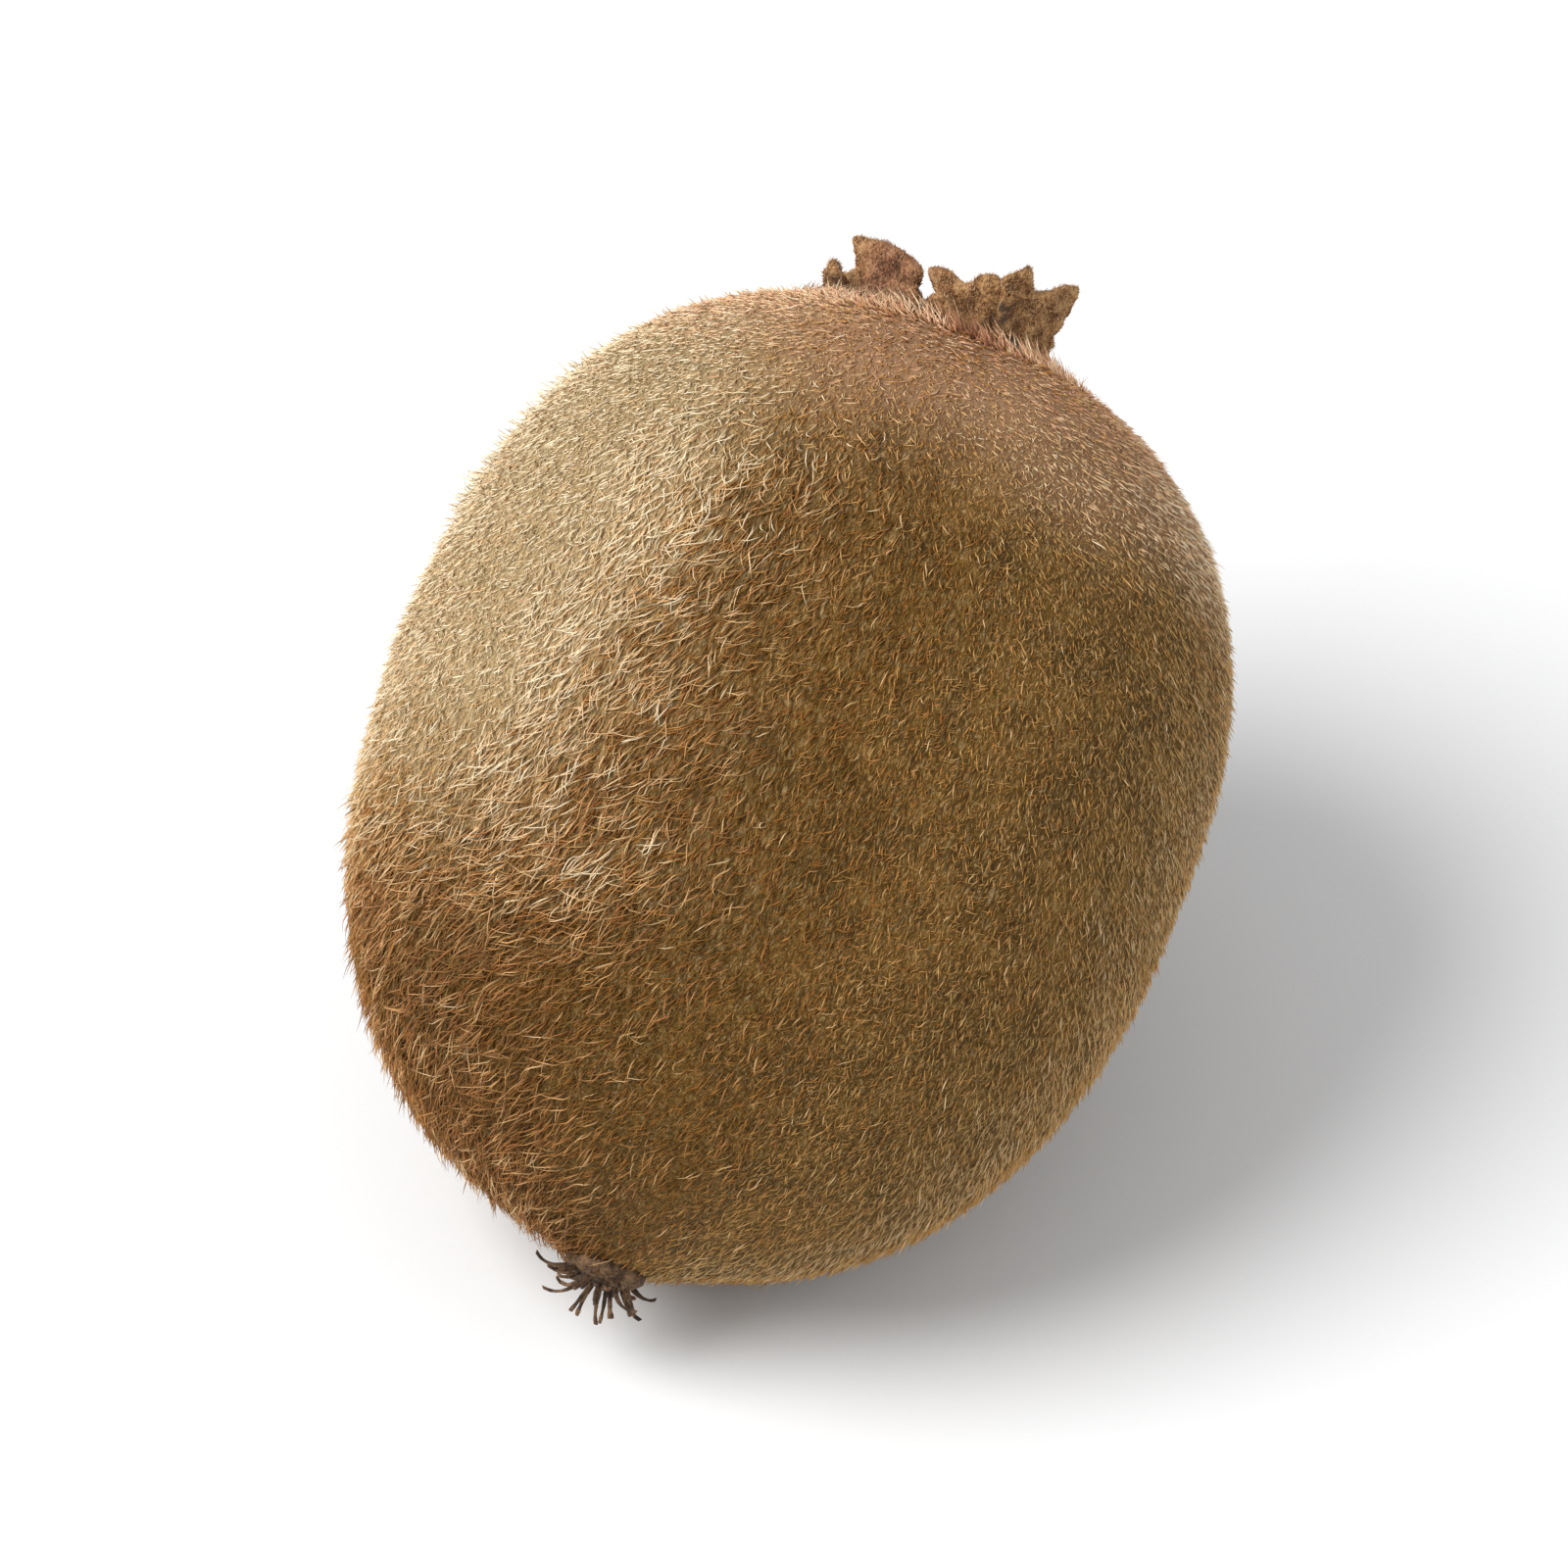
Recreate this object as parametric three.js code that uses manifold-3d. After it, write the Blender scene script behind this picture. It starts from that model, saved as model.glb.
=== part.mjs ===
// A whole, unpeeled kiwi fruit, resting on a small flat spot with its calyx end raised.
// Units are millimetres and +Z is up. The origin lies on the surface that the fruit rests on,
// under the middle of the whole part.
// The fruit is shaped in a frame of its own, whose +Z runs along its core to the calyx end, and
// is then leaned over into its resting pose.
import * as THREE from "three";
import { mergeVertices } from "three/addons/utils/BufferGeometryUtils.js";
import Module from "manifold-3d";

const wasm = await Module();
wasm.setup();

const DEGREE = Math.PI / 180;

// The fruit's own size and form
const FRUIT = {
  halfWidth: 26.9, // along its own Y, the wider way across
  halfDepth: 25.7, // along its own X
  calyxHalf: 31.4, // from the widest girth to the calyx end, before the dimple
  blossomHalf: 33.2, // from the widest girth to the blossom end
  calyxBluntness: 2.42, // power of the outline: 2 is an ellipse, and more is blunter
  blossomBluntness: 2.14,
  facetsPerEdge: 16, // how finely each edge of the starting icosahedron is split
};
const DIMPLE = { depth: 3.0, radius: 11 }; // the shallow hollow round the stem scar
const TIP = { height: 1.1, radius: 4.2 }; // the slight point at the blossom end
const SHOULDER = { fuller: 0.024, azimuth: -76 * DEGREE }; // the side where the shoulder is fuller
const CHEEK = { fuller: 0.06, azimuth: 0, polar: 74 * DEGREE, spread: 40 * DEGREE }; // its fuller underside
const FACES = { share: 0.009, count: 3, azimuth: 25 * DEGREE }; // faint flats along its length
const NAP = { height: 0.22, clearOfCalyx: 11, seed: 7 }; // the fuzz, as a fine uneven relief

// How the fruit rests
const REST = { lean: 56 * DEGREE, flatDepth: 1.6 };

// The calyx: a woody plate round the stem scar, with the dried sepals on its edge
const GAP = 0.3; // between neighbouring pieces
const PLATE = {
  radius: 7.5,
  thickness: 0.8,
  scarRadius: 3.1, // where the low rim of the stem scar stands
  scarRim: 0.7, // how high it stands
  scarHollow: 0.5, // and how deep the scar dips inside it
  sides: 36,
  steps: 8,
};
const SEPAL = {
  thickness: 0.6,
  rootRadius: 6.8,
  rootSunk: 0.65,
  bellyAt: 3.4, // height at which a sepal reaches its full width
  across: 12,
  along: 6,
};
// One entry for each sepal: its place round the core, its half-width at the root and at its belly,
// how it leans and curls outwards and sways to one side, how its sides cup inwards, how far its
// corners flare sideways, and the heights of its torn edge, from one side of it to the other
const SEPALS = [
  {
    azimuth: 156, foot: 2.1, belly: 2.9, lean: -4, curl: 8, sway: -0.42, cup: 0.5, flare: [0.2, 0.1],
    edge: [4.1, 4.7, 4.5, 4.6, 4.3, 3.9, 2.7],
  },
  {
    azimuth: -149, foot: 2.0, belly: 2.2, lean: 0, curl: 6, sway: -0.2, cup: 0.7, flare: [1.9, 0.1],
    edge: [3.2, 3.3, 2.7, 3.9, 4.0, 3.8, 2.9],
  },
  {
    azimuth: -115, foot: 2.9, belly: 3.0, lean: 2, curl: 12, sway: -0.17, cup: 0.7, flare: [0.1, 2.0],
    edge: [3.0, 4.4, 5.9, 4.8, 4.1, 5.3, 5.9],
  },
  {
    azimuth: -22, foot: 2.3, belly: 2.4, lean: 10, curl: 30, sway: 0.1, cup: 0.6, flare: [0.5, 0.4],
    edge: [3.4, 4.5, 3.8, 4.9, 4.2, 4.6, 3.2],
  },
  {
    azimuth: 64, foot: 2.2, belly: 2.5, lean: 14, curl: 34, sway: -0.1, cup: 0.4, flare: [0.3, 0.6],
    edge: [3.0, 3.6, 4.4, 4.0, 4.3, 3.2, 2.4],
  },
  {
    azimuth: 112, foot: 1.5, belly: 1.4, lean: 36, curl: 30, sway: 0, cup: 0.1, flare: [0.4, 0.3],
    edge: [1.6, 2.8, 2.0, 2.9, 1.9, 2.4, 1.5],
  },
  {
    azimuth: -178, foot: 1.5, belly: 1.3, lean: 16, curl: 24, sway: 0.1, cup: 0.1, flare: [0.2, 0.3],
    edge: [1.0, 1.6, 1.2, 1.9, 1.4, 1.7, 1.2],
  },
];

// The dried styles at the blossom end, on their small hard pad
const STYLES = {
  padRadius: 2.7,
  padHeight: 0.9,
  padSides: 20,
  padSteps: 5,
  count: 14,
  length: 3.2,
  radius: 0.34,
  least: 14 * DEGREE, // lean of the innermost from the core line
  most: 62 * DEGREE, // and of the outermost
  sunk: 0.8,
};

// Small helpers

function seededRandom(seed) {
  let state = seed >>> 0;
  return () => {
    state = (state + 0x6d2b79f5) >>> 0;
    let t = Math.imul(state ^ (state >>> 15), 1 | state);
    t = (t + Math.imul(t ^ (t >>> 7), 61 | t)) ^ t;
    return ((t ^ (t >>> 14)) >>> 0) / 4294967296;
  };
}

const smooth = (x) => {
  const t = Math.min(1, Math.max(0, x));
  return t * t * (3 - 2 * t);
};

const angleBetween = (a, b) => Math.abs(Math.atan2(Math.sin(a - b), Math.cos(a - b)));

function solidFrom(geometry) {
  const bare = geometry.clone();
  bare.deleteAttribute("normal");
  bare.deleteAttribute("uv");
  const merged = mergeVertices(bare, 1e-4);
  return new wasm.Manifold(
    new wasm.Mesh({
      numProp: 3,
      vertProperties: new Float32Array(merged.attributes.position.array),
      triVerts: new Uint32Array(merged.index.array),
    }),
  );
}

function geometryFrom(solid) {
  const mesh = solid.getMesh();
  const stride = mesh.numProp;
  const positions = new Float32Array(mesh.numVert * 3);
  for (let i = 0; i < mesh.numVert; i++) {
    positions.set(mesh.vertProperties.subarray(i * stride, i * stride + 3), i * 3);
  }
  const geometry = new THREE.BufferGeometry();
  geometry.setAttribute("position", new THREE.BufferAttribute(positions, 3));
  geometry.setIndex(new THREE.BufferAttribute(new Uint32Array(mesh.triVerts), 1));
  geometry.computeVertexNormals();
  return geometry;
}

// The fruit's skin

function dimpleAt(r) {
  if (r >= DIMPLE.radius) return 0;
  return (DIMPLE.depth / 2) * (1 + Math.cos((Math.PI * r) / DIMPLE.radius));
}

// How far the skin reaches past its outline at the blossom end
const tipAt = (r) => TIP.height * Math.exp(-((r / TIP.radius) ** 2));

// Height of the skin at the calyx end, r from the core line
function calyxSkinHeight(r) {
  const power = FRUIT.calyxBluntness;
  const share = Math.pow(r / FRUIT.halfDepth, power);
  return FRUIT.calyxHalf * Math.pow(1 - share, 1 / power) - dimpleAt(r);
}

// The point of the skin that lies in a given direction from the middle of the fruit
function skinPoint(direction) {
  const azimuth = Math.atan2(direction.y, direction.x);
  const polar = Math.acos(THREE.MathUtils.clamp(direction.z, -1, 1));
  const calyxSide = direction.z > 0;
  const half = calyxSide ? FRUIT.calyxHalf : FRUIT.blossomHalf;
  const power = calyxSide ? FRUIT.calyxBluntness : FRUIT.blossomBluntness;
  const girth = Math.hypot(direction.x / FRUIT.halfDepth, direction.y / FRUIT.halfWidth);
  const reach = Math.pow(Math.pow(girth, power) + Math.pow(Math.abs(direction.z) / half, power), -1 / power);
  const towardsShoulder = Math.sin(2 * polar) * Math.cos(azimuth - SHOULDER.azimuth);
  const shoulder = calyxSide ? SHOULDER.fuller * towardsShoulder : 0;
  const cheekAway = Math.hypot(angleBetween(azimuth, CHEEK.azimuth) * Math.sin(polar), polar - CHEEK.polar);
  const cheek = CHEEK.fuller * Math.exp(-((cheekAway / CHEEK.spread) ** 2));
  const faces = FACES.share * Math.sin(polar) ** 2 * Math.cos(FACES.count * (azimuth - FACES.azimuth));
  const wider = 1 + shoulder + cheek + faces;
  const point = new THREE.Vector3(
    direction.x * reach * wider,
    direction.y * reach * wider,
    direction.z * reach,
  );
  const r = Math.hypot(point.x, point.y);
  point.z -= calyxSide ? dimpleAt(r) : tipAt(r);
  return point;
}

// The resting pose leans the core line over towards +X.
const leaned = new THREE.Matrix4().makeRotationY(REST.lean);

function fruitSolid() {
  const ball = new THREE.IcosahedronGeometry(1, FRUIT.facetsPerEdge);
  ball.deleteAttribute("normal");
  ball.deleteAttribute("uv");
  const skin = mergeVertices(ball, 1e-4);
  const random = seededRandom(NAP.seed);
  const position = skin.attributes.position;
  const outward = new THREE.Vector3();
  for (let i = 0; i < position.count; i++) {
    outward.fromBufferAttribute(position, i).normalize();
    const point = skinPoint(outward);
    const fromCalyx = outward.z > 0 ? Math.hypot(point.x, point.y) : NAP.clearOfCalyx * 2;
    const tuft = NAP.height * random() * smooth(fromCalyx / NAP.clearOfCalyx - 1);
    point.addScaledVector(outward, tuft - NAP.height / 2);
    position.setXYZ(i, point.x, point.y, point.z);
  }
  return solidFrom(skin);
}

// The slab below the surface that the fruit rests on, in the fruit's own frame
function surfaceSlab(solid) {
  const lying = geometryFrom(solid).applyMatrix4(leaned);
  lying.computeBoundingBox();
  const floor = lying.boundingBox.min.z + REST.flatDepth;
  const slab = new THREE.BoxGeometry(200, 200, 40).translate(0, 0, floor - 20);
  return solidFrom(slab.applyMatrix4(leaned.clone().invert()));
}

// The calyx plate: it follows the dimple, with the stem scar as a low cup in its middle

function plateSolid() {
  const under = [];
  const over = [];
  for (let i = 0; i <= PLATE.steps; i++) {
    const r = (PLATE.radius * i) / PLATE.steps;
    const skin = calyxSkinHeight(r) + GAP;
    const edge = 1 - 0.45 * smooth((r / PLATE.radius - 0.7) / 0.3);
    const rim = PLATE.scarRim * Math.exp(-(((r - PLATE.scarRadius) / 0.9) ** 2));
    const hollow = PLATE.scarHollow * Math.exp(-((r / 1.8) ** 2));
    under.push(new THREE.Vector2(r, skin));
    over.push(new THREE.Vector2(r, skin + PLATE.thickness * edge + rim - hollow));
  }
  const outline = [...under, ...over.reverse()];
  // The lathe turns its outline about Y, and this carries Y to Z.
  return facingOut(new THREE.LatheGeometry(outline, PLATE.sides).rotateX(Math.PI / 2));
}

function flipFaces(geometry) {
  const index = geometry.index.array;
  for (let i = 0; i < index.length; i += 3) [index[i + 1], index[i + 2]] = [index[i + 2], index[i + 1]];
}

// A lathe's faces may point in or out, by the way its outline runs.
function facingOut(geometry) {
  const solid = solidFrom(geometry);
  if (solid.volume() > 0) return solid;
  flipFaces(geometry);
  return solidFrom(geometry);
}

// The height of a sepal's torn edge, across from -1 to 1, joined smoothly between its given heights
function edgeHeight(sepal, across) {
  const last = sepal.edge.length - 1;
  const place = THREE.MathUtils.clamp(((across + 1) / 2) * last, 0, last);
  const step = Math.min(last - 1, Math.floor(place));
  return THREE.MathUtils.lerp(sepal.edge[step], sepal.edge[step + 1], smooth(place - step));
}

// A point on the middle surface of a sepal, along from its root (0 to 1) and across (-1 to 1)
function sepalPoint(sepal, along, across) {
  const height = along * edgeHeight(sepal, across);
  const lean = sepal.lean * DEGREE;
  const bend = (sepal.curl * DEGREE) / SEPAL.bellyAt / 2;
  const corner = sepal.flare[across < 0 ? 0 : 1] * across ** 2 * Math.sign(across);
  const width = THREE.MathUtils.lerp(sepal.foot, sepal.belly, smooth(height / SEPAL.bellyAt));
  const side = across * width + sepal.sway * height + corner * (height / SEPAL.bellyAt / 2) ** 2;
  const out =
    SEPAL.rootRadius +
    height * Math.sin(lean + (bend * height) / 2) -
    sepal.cup * across ** 2 * (0.3 + height / SEPAL.bellyAt / 2);
  const up = calyxSkinHeight(SEPAL.rootRadius) + GAP + PLATE.thickness - SEPAL.rootSunk;
  const azimuth = sepal.azimuth * DEGREE;
  return new THREE.Vector3(
    out * Math.cos(azimuth) - side * Math.sin(azimuth),
    out * Math.sin(azimuth) + side * Math.cos(azimuth),
    up + height * Math.cos(lean + (bend * height) / 2),
  );
}

function sepalSolid(sepal) {
  const { across: columns, along: rows, thickness } = SEPAL;
  const step = 1e-3;
  const inner = [];
  const outer = [];
  for (let i = 0; i <= rows; i++) {
    for (let j = 0; j <= columns; j++) {
      const along = i / rows;
      const across = (2 * j) / columns - 1;
      const point = sepalPoint(sepal, along, across);
      const up = sepalPoint(sepal, along + step, across).sub(sepalPoint(sepal, along - step, across));
      const over = sepalPoint(sepal, along, across + step).sub(sepalPoint(sepal, along, across - step));
      const normal = over.cross(up).normalize();
      outer.push(point.clone().addScaledVector(normal, thickness / 2));
      inner.push(point.clone().addScaledVector(normal, -thickness / 2));
    }
  }
  return facingOut(closedPlate(outer, inner, rows, columns));
}

// Joins two like grids of points into one closed plate
function closedPlate(outer, inner, rows, columns) {
  const count = outer.length;
  const at = (i, j) => i * (columns + 1) + j;
  const faces = [];
  for (let i = 0; i < rows; i++) {
    for (let j = 0; j < columns; j++) {
      const [a, b, c, d] = [at(i, j), at(i, j + 1), at(i + 1, j + 1), at(i + 1, j)];
      faces.push(a, b, c, a, c, d);
      faces.push(count + a, count + c, count + b, count + a, count + d, count + c);
    }
  }
  const rim = [];
  for (let j = 0; j < columns; j++) rim.push(at(0, j));
  for (let i = 0; i < rows; i++) rim.push(at(i, columns));
  for (let j = columns; j > 0; j--) rim.push(at(rows, j));
  for (let i = rows; i > 0; i--) rim.push(at(i, 0));
  rim.forEach((a, k) => {
    const b = rim[(k + 1) % rim.length];
    faces.push(a, count + a, count + b, a, count + b, b);
  });
  const positions = [...outer, ...inner].flatMap((p) => [p.x, p.y, p.z]);
  const geometry = new THREE.BufferGeometry();
  geometry.setAttribute("position", new THREE.Float32BufferAttribute(positions, 3));
  geometry.setIndex(faces);
  return geometry;
}

function calyxSolid() {
  return SEPALS.reduce((made, sepal) => made.add(sepalSolid(sepal)), plateSolid());
}

// The dried styles, splayed from their pad at the blossom end

// Height of the skin at the blossom end, r from the core line, below the widest girth
function blossomSkinHeight(r) {
  const power = FRUIT.blossomBluntness;
  const share = Math.pow(r / FRUIT.halfDepth, power);
  return -FRUIT.blossomHalf * Math.pow(1 - share, 1 / power) - tipAt(r);
}

function padSolid() {
  const seat = [];
  const face = [];
  for (let i = 0; i <= STYLES.padSteps; i++) {
    const r = (STYLES.padRadius * i) / STYLES.padSteps;
    const skin = blossomSkinHeight(r) - GAP;
    const thick = STYLES.padHeight * Math.sqrt(1 - 0.8 * (r / STYLES.padRadius) ** 2);
    seat.push(new THREE.Vector2(r, skin));
    face.push(new THREE.Vector2(r, skin - thick));
  }
  const outline = [...seat, ...face.reverse()];
  return facingOut(new THREE.LatheGeometry(outline, STYLES.padSides).rotateX(Math.PI / 2));
}

function stylesSolid() {
  const golden = Math.PI * (3 - Math.sqrt(5));
  let made = padSolid();
  for (let k = 0; k < STYLES.count; k++) {
    const share = (k + 0.5) / STYLES.count;
    const lean = STYLES.least + (STYLES.most - STYLES.least) * share;
    const foot = STYLES.padRadius * 0.6 * Math.sqrt(share);
    const style = new THREE.ConeGeometry(STYLES.radius, STYLES.length, 5);
    // The cone points along +Y; this stands it on its foot, pointing along -Z, and splays it.
    style.translate(0, STYLES.length / 2 - STYLES.sunk, 0).rotateX(-Math.PI / 2).rotateY(lean);
    style.translate(-foot, 0, blossomSkinHeight(foot) - GAP - STYLES.padHeight).rotateZ(k * golden);
    made = made.add(facingOut(style));
  }
  return made;
}

// The part

const skinFinish = new THREE.MeshStandardMaterial({ color: 0x8d7146, roughness: 0.9, metalness: 0 });
const calyxFinish = new THREE.MeshStandardMaterial({ color: 0x7d5a40, roughness: 0.95, metalness: 0 });
const stylesFinish = new THREE.MeshStandardMaterial({ color: 0x3d2c20, roughness: 0.95, metalness: 0 });

function piece(name, solid, finish) {
  const mesh = new THREE.Mesh(geometryFrom(solid), finish);
  mesh.name = name;
  return mesh;
}

const wholeFruit = fruitSolid();
const fruit = new THREE.Group();
fruit.add(piece("fruit", wholeFruit.subtract(surfaceSlab(wholeFruit)), skinFinish));
fruit.add(piece("calyx", calyxSolid(), calyxFinish));
fruit.add(piece("dried_styles", stylesSolid(), stylesFinish));
fruit.rotation.y = REST.lean;

// Set down with the flat spot on the surface and the whole part centred over the origin
const part = new THREE.Group();
part.add(fruit);
const extent = new THREE.Box3().setFromObject(part, true);
const middle = extent.getCenter(new THREE.Vector3());
fruit.position.set(-middle.x, -middle.y, -extent.min.z);

export default part;
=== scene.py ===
import math

import bmesh
import bpy
import numpy as np
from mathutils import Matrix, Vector, noise


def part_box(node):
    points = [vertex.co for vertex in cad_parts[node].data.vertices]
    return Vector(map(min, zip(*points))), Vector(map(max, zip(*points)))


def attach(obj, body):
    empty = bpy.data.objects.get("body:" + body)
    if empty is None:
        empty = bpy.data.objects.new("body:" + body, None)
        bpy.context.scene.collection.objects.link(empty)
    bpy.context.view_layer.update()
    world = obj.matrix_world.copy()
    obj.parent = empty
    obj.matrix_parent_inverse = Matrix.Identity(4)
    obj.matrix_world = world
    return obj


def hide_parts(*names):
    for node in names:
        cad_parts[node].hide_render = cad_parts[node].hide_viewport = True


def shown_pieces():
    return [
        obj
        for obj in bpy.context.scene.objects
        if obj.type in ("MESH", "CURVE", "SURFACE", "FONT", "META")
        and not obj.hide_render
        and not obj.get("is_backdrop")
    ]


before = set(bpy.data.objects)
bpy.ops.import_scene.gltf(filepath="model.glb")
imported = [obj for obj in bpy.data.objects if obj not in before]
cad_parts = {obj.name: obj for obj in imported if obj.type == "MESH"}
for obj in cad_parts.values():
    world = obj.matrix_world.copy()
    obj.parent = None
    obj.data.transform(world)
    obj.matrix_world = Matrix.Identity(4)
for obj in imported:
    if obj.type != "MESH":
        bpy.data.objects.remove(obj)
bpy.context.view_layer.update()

mm = 0.001
degree = math.pi / 180


# Small helpers for numbers

def smooth(x):
    t = np.clip(x, 0.0, 1.0)
    return t * t * (3 - 2 * t)


# 0 up to the start, then 1 after that width
def rising(x, start, width):
    return smooth((x - start) / width)


# 1 until that width before the end, then 0
def falling(x, end, width):
    return smooth((end - x) / width)


def bump(x, middle, spread):
    return np.exp(-(((x - middle) / spread) ** 2))


def turnBetween(a, b):
    return np.arctan2(np.sin(a - b), np.cos(a - b))


# 1 at that many degrees round the core, fading away on both sides
def bumpRound(turns, middle, spread):
    return bump(turnBetween(turns, middle * degree), 0, spread * degree)


def turnAndRadius(points):
    return np.arctan2(points[:, 1], points[:, 0]), np.hypot(points[:, 0], points[:, 1])


def unit(vectors):
    return vectors / np.maximum(np.linalg.norm(vectors, axis=-1, keepdims=True), 1e-9)


# The vectors laid flat on a surface with those normals
def laidFlat(vectors, normals):
    return unit(vectors - normals * np.sum(vectors * normals, 1)[:, None])


def lumps(points, size, seed, octaves=2):
    shift = Vector((seed * 7.13, seed * 3.71, seed * 5.57))  # a fresh place in the noise for each use
    return np.array([noise.fractal(Vector(p) / size + shift, 0.9, 2.1, octaves) for p in points])


# A colour as seen on a screen, 0 to 255, for a shader socket
def shade(red, green, blue):
    made = []
    for part in (red, green, blue):
        share = part / 255
        made.append(share / 12.92 if share <= 0.04045 else ((share + 0.055) / 1.055) ** 2.4)
    return (*made, 1.0)


# Small helpers for meshes

def linked(name, data):
    made = bpy.data.objects.new(name, data)
    bpy.context.scene.collection.objects.link(made)
    return made


def trianglesOf(mesh):
    return sum(len(p.vertices) - 2 for p in mesh.polygons)


def meshObject(name, points, faces):
    mesh = bpy.data.meshes.new(name)
    mesh.from_pydata([tuple(p) for p in points], [], [tuple(f) for f in faces])
    mesh.update()
    mesh.polygons.foreach_set("use_smooth", [True] * len(mesh.polygons))
    return linked(name, mesh)


def storeValues(mesh, name, values):
    values = np.asarray(values, np.float32)
    flat = values.ndim == 1
    attribute = mesh.attributes.new(name, "FLOAT" if flat else "FLOAT_VECTOR", "POINT")
    attribute.data.foreach_set("value" if flat else "vector", values.ravel())


def readValues(mesh, name):
    values = np.zeros(len(mesh.vertices), np.float32)
    mesh.attributes[name].data.foreach_get("value", values)
    return values


def normalsOf(mesh):
    values = np.zeros(len(mesh.vertices) * 3, np.float32)
    mesh.vertex_normals.foreach_get("vector", values)
    return values.reshape(-1, 3)


def faceOutwards(mesh):
    work = bmesh.new()
    work.from_mesh(mesh)
    bmesh.ops.recalc_face_normals(work, faces=work.faces)
    work.to_mesh(mesh)
    work.free()


# Faces that join two like grids of points, one after the other, into one closed plate
def closedPlate(rows, columns, first):
    count = (rows + 1) * (columns + 1)
    at = lambda i, j: first + i * (columns + 1) + j
    faces = []
    for i in range(rows):
        for j in range(columns):
            a, b, c, d = at(i, j), at(i, j + 1), at(i + 1, j + 1), at(i + 1, j)
            faces.append((a, b, c, d))
            faces.append((count + a, count + d, count + c, count + b))
    rim = [at(0, j) for j in range(columns)] + [at(i, columns) for i in range(rows)]
    rim += [at(rows, j) for j in range(columns, 0, -1)] + [at(i, 0) for i in range(rows, 0, -1)]
    for a, b in zip(rim, rim[1:] + rim[:1]):
        faces.append((a, count + a, count + b, b))
    return faces


# Faces of a closed outline turned about the core; the outline starts and ends on the core
def revolved(profile, sides):
    rings = len(profile) - 2
    at = lambda ring, k: 1 + ring * sides + k % sides
    faces = []
    for k in range(sides):
        faces.append((0, at(0, k + 1), at(0, k)))
        for ring in range(rings - 1):
            faces.append((at(ring, k), at(ring, k + 1), at(ring + 1, k + 1), at(ring + 1, k)))
        faces.append((at(rings - 1, k), at(rings - 1, k + 1), 1 + rings * sides))
    return faces


def revolvedPoints(profile, sides):
    points = [(0.0, 0.0, profile[0][1])]
    for radius, height in profile[1:-1]:
        for k in range(sides):
            turn = 2 * math.pi * k / sides
            points.append((radius * math.cos(turn), radius * math.sin(turn), height))
    points.append((0.0, 0.0, profile[-1][1]))
    return np.array(points)


# Small helpers for node trees

def socketOf(sockets, name):
    if isinstance(name, int):
        return sockets[name]
    return next(s for s in sockets if s.name == name and s.enabled)


def addNode(tree, kind, values=None, **settings):
    node = tree.nodes.new(kind)
    for name, value in settings.items():
        setattr(node, name, value)
    for name, value in (values or {}).items():
        socket = socketOf(node.inputs, name)
        if isinstance(value, bpy.types.NodeSocket):
            tree.links.new(value, socket)
        else:
            socket.default_value = value
    return node


def calc(tree, operation, a, b=0.0):
    return addNode(tree, "ShaderNodeMath", {0: a, 1: b}, operation=operation).outputs[0]


def timesPlus(tree, a, by, plus):
    return addNode(tree, "ShaderNodeMath", {0: a, 1: by, 2: plus}, operation="MULTIPLY_ADD").outputs[0]


def total(tree, first, *others):
    for other in others:
        first = calc(tree, "ADD", first, other)
    return first


def product(tree, first, *others):
    for other in others:
        first = calc(tree, "MULTIPLY", first, other)
    return first


def across(tree, operation, a, b=(0, 0, 0)):
    return addNode(tree, "ShaderNodeVectorMath", {0: a, 1: b}, operation=operation).outputs[0]


def scaled(tree, a, by):
    return addNode(tree, "ShaderNodeVectorMath", {0: a, "Scale": by}, operation="SCALE").outputs[0]


def groupSockets(tree, way, kind, *names):
    for name in names:
        tree.interface.new_socket(name, in_out=way, socket_type="NodeSocket" + kind)


def mixed(tree, factor, a, b, blend="MIX"):
    node = addNode(tree, "ShaderNodeMix", {"Factor": factor, "A": a, "B": b},
                   data_type="RGBA", blend_type=blend)
    return socketOf(node.outputs, "Result")


def ranged(tree, value, low, high, atLow=0.0, atHigh=1.0):
    return addNode(tree, "ShaderNodeMapRange", {
        "Value": value, "From Min": low, "From Max": high, "To Min": atLow, "To Max": atHigh}).outputs[0]


def noiseAt(tree, place, scale, detail, roughness=0.5, distortion=0.0):
    return addNode(tree, "ShaderNodeTexNoise", {
        "Vector": place, "Scale": scale, "Detail": detail, "Roughness": roughness,
        "Distortion": distortion}).outputs["Fac"]


def axesOf(tree, vector):
    return addNode(tree, "ShaderNodeSeparateXYZ", {"Vector": vector}).outputs


def vectorOf(tree, x, y, z):
    return addNode(tree, "ShaderNodeCombineXYZ", {"X": x, "Y": y, "Z": z}).outputs[0]


def objectPlace(tree):
    return addNode(tree, "ShaderNodeTexCoord").outputs["Object"]


# A map that is painted on the mesh
def painting(tree, name):
    return addNode(tree, "ShaderNodeAttribute", attribute_name=name).outputs["Fac"]


def newMaterial(name, roughness, specular):
    material = bpy.data.materials.new(name)
    material.use_nodes = True
    surface = material.node_tree.nodes["Principled BSDF"]
    surface.inputs["Roughness"].default_value = roughness
    surface.inputs["Specular IOR Level"].default_value = specular
    return material, material.node_tree, surface


# Camera, floor and light, at the photograph's viewing angle

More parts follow.
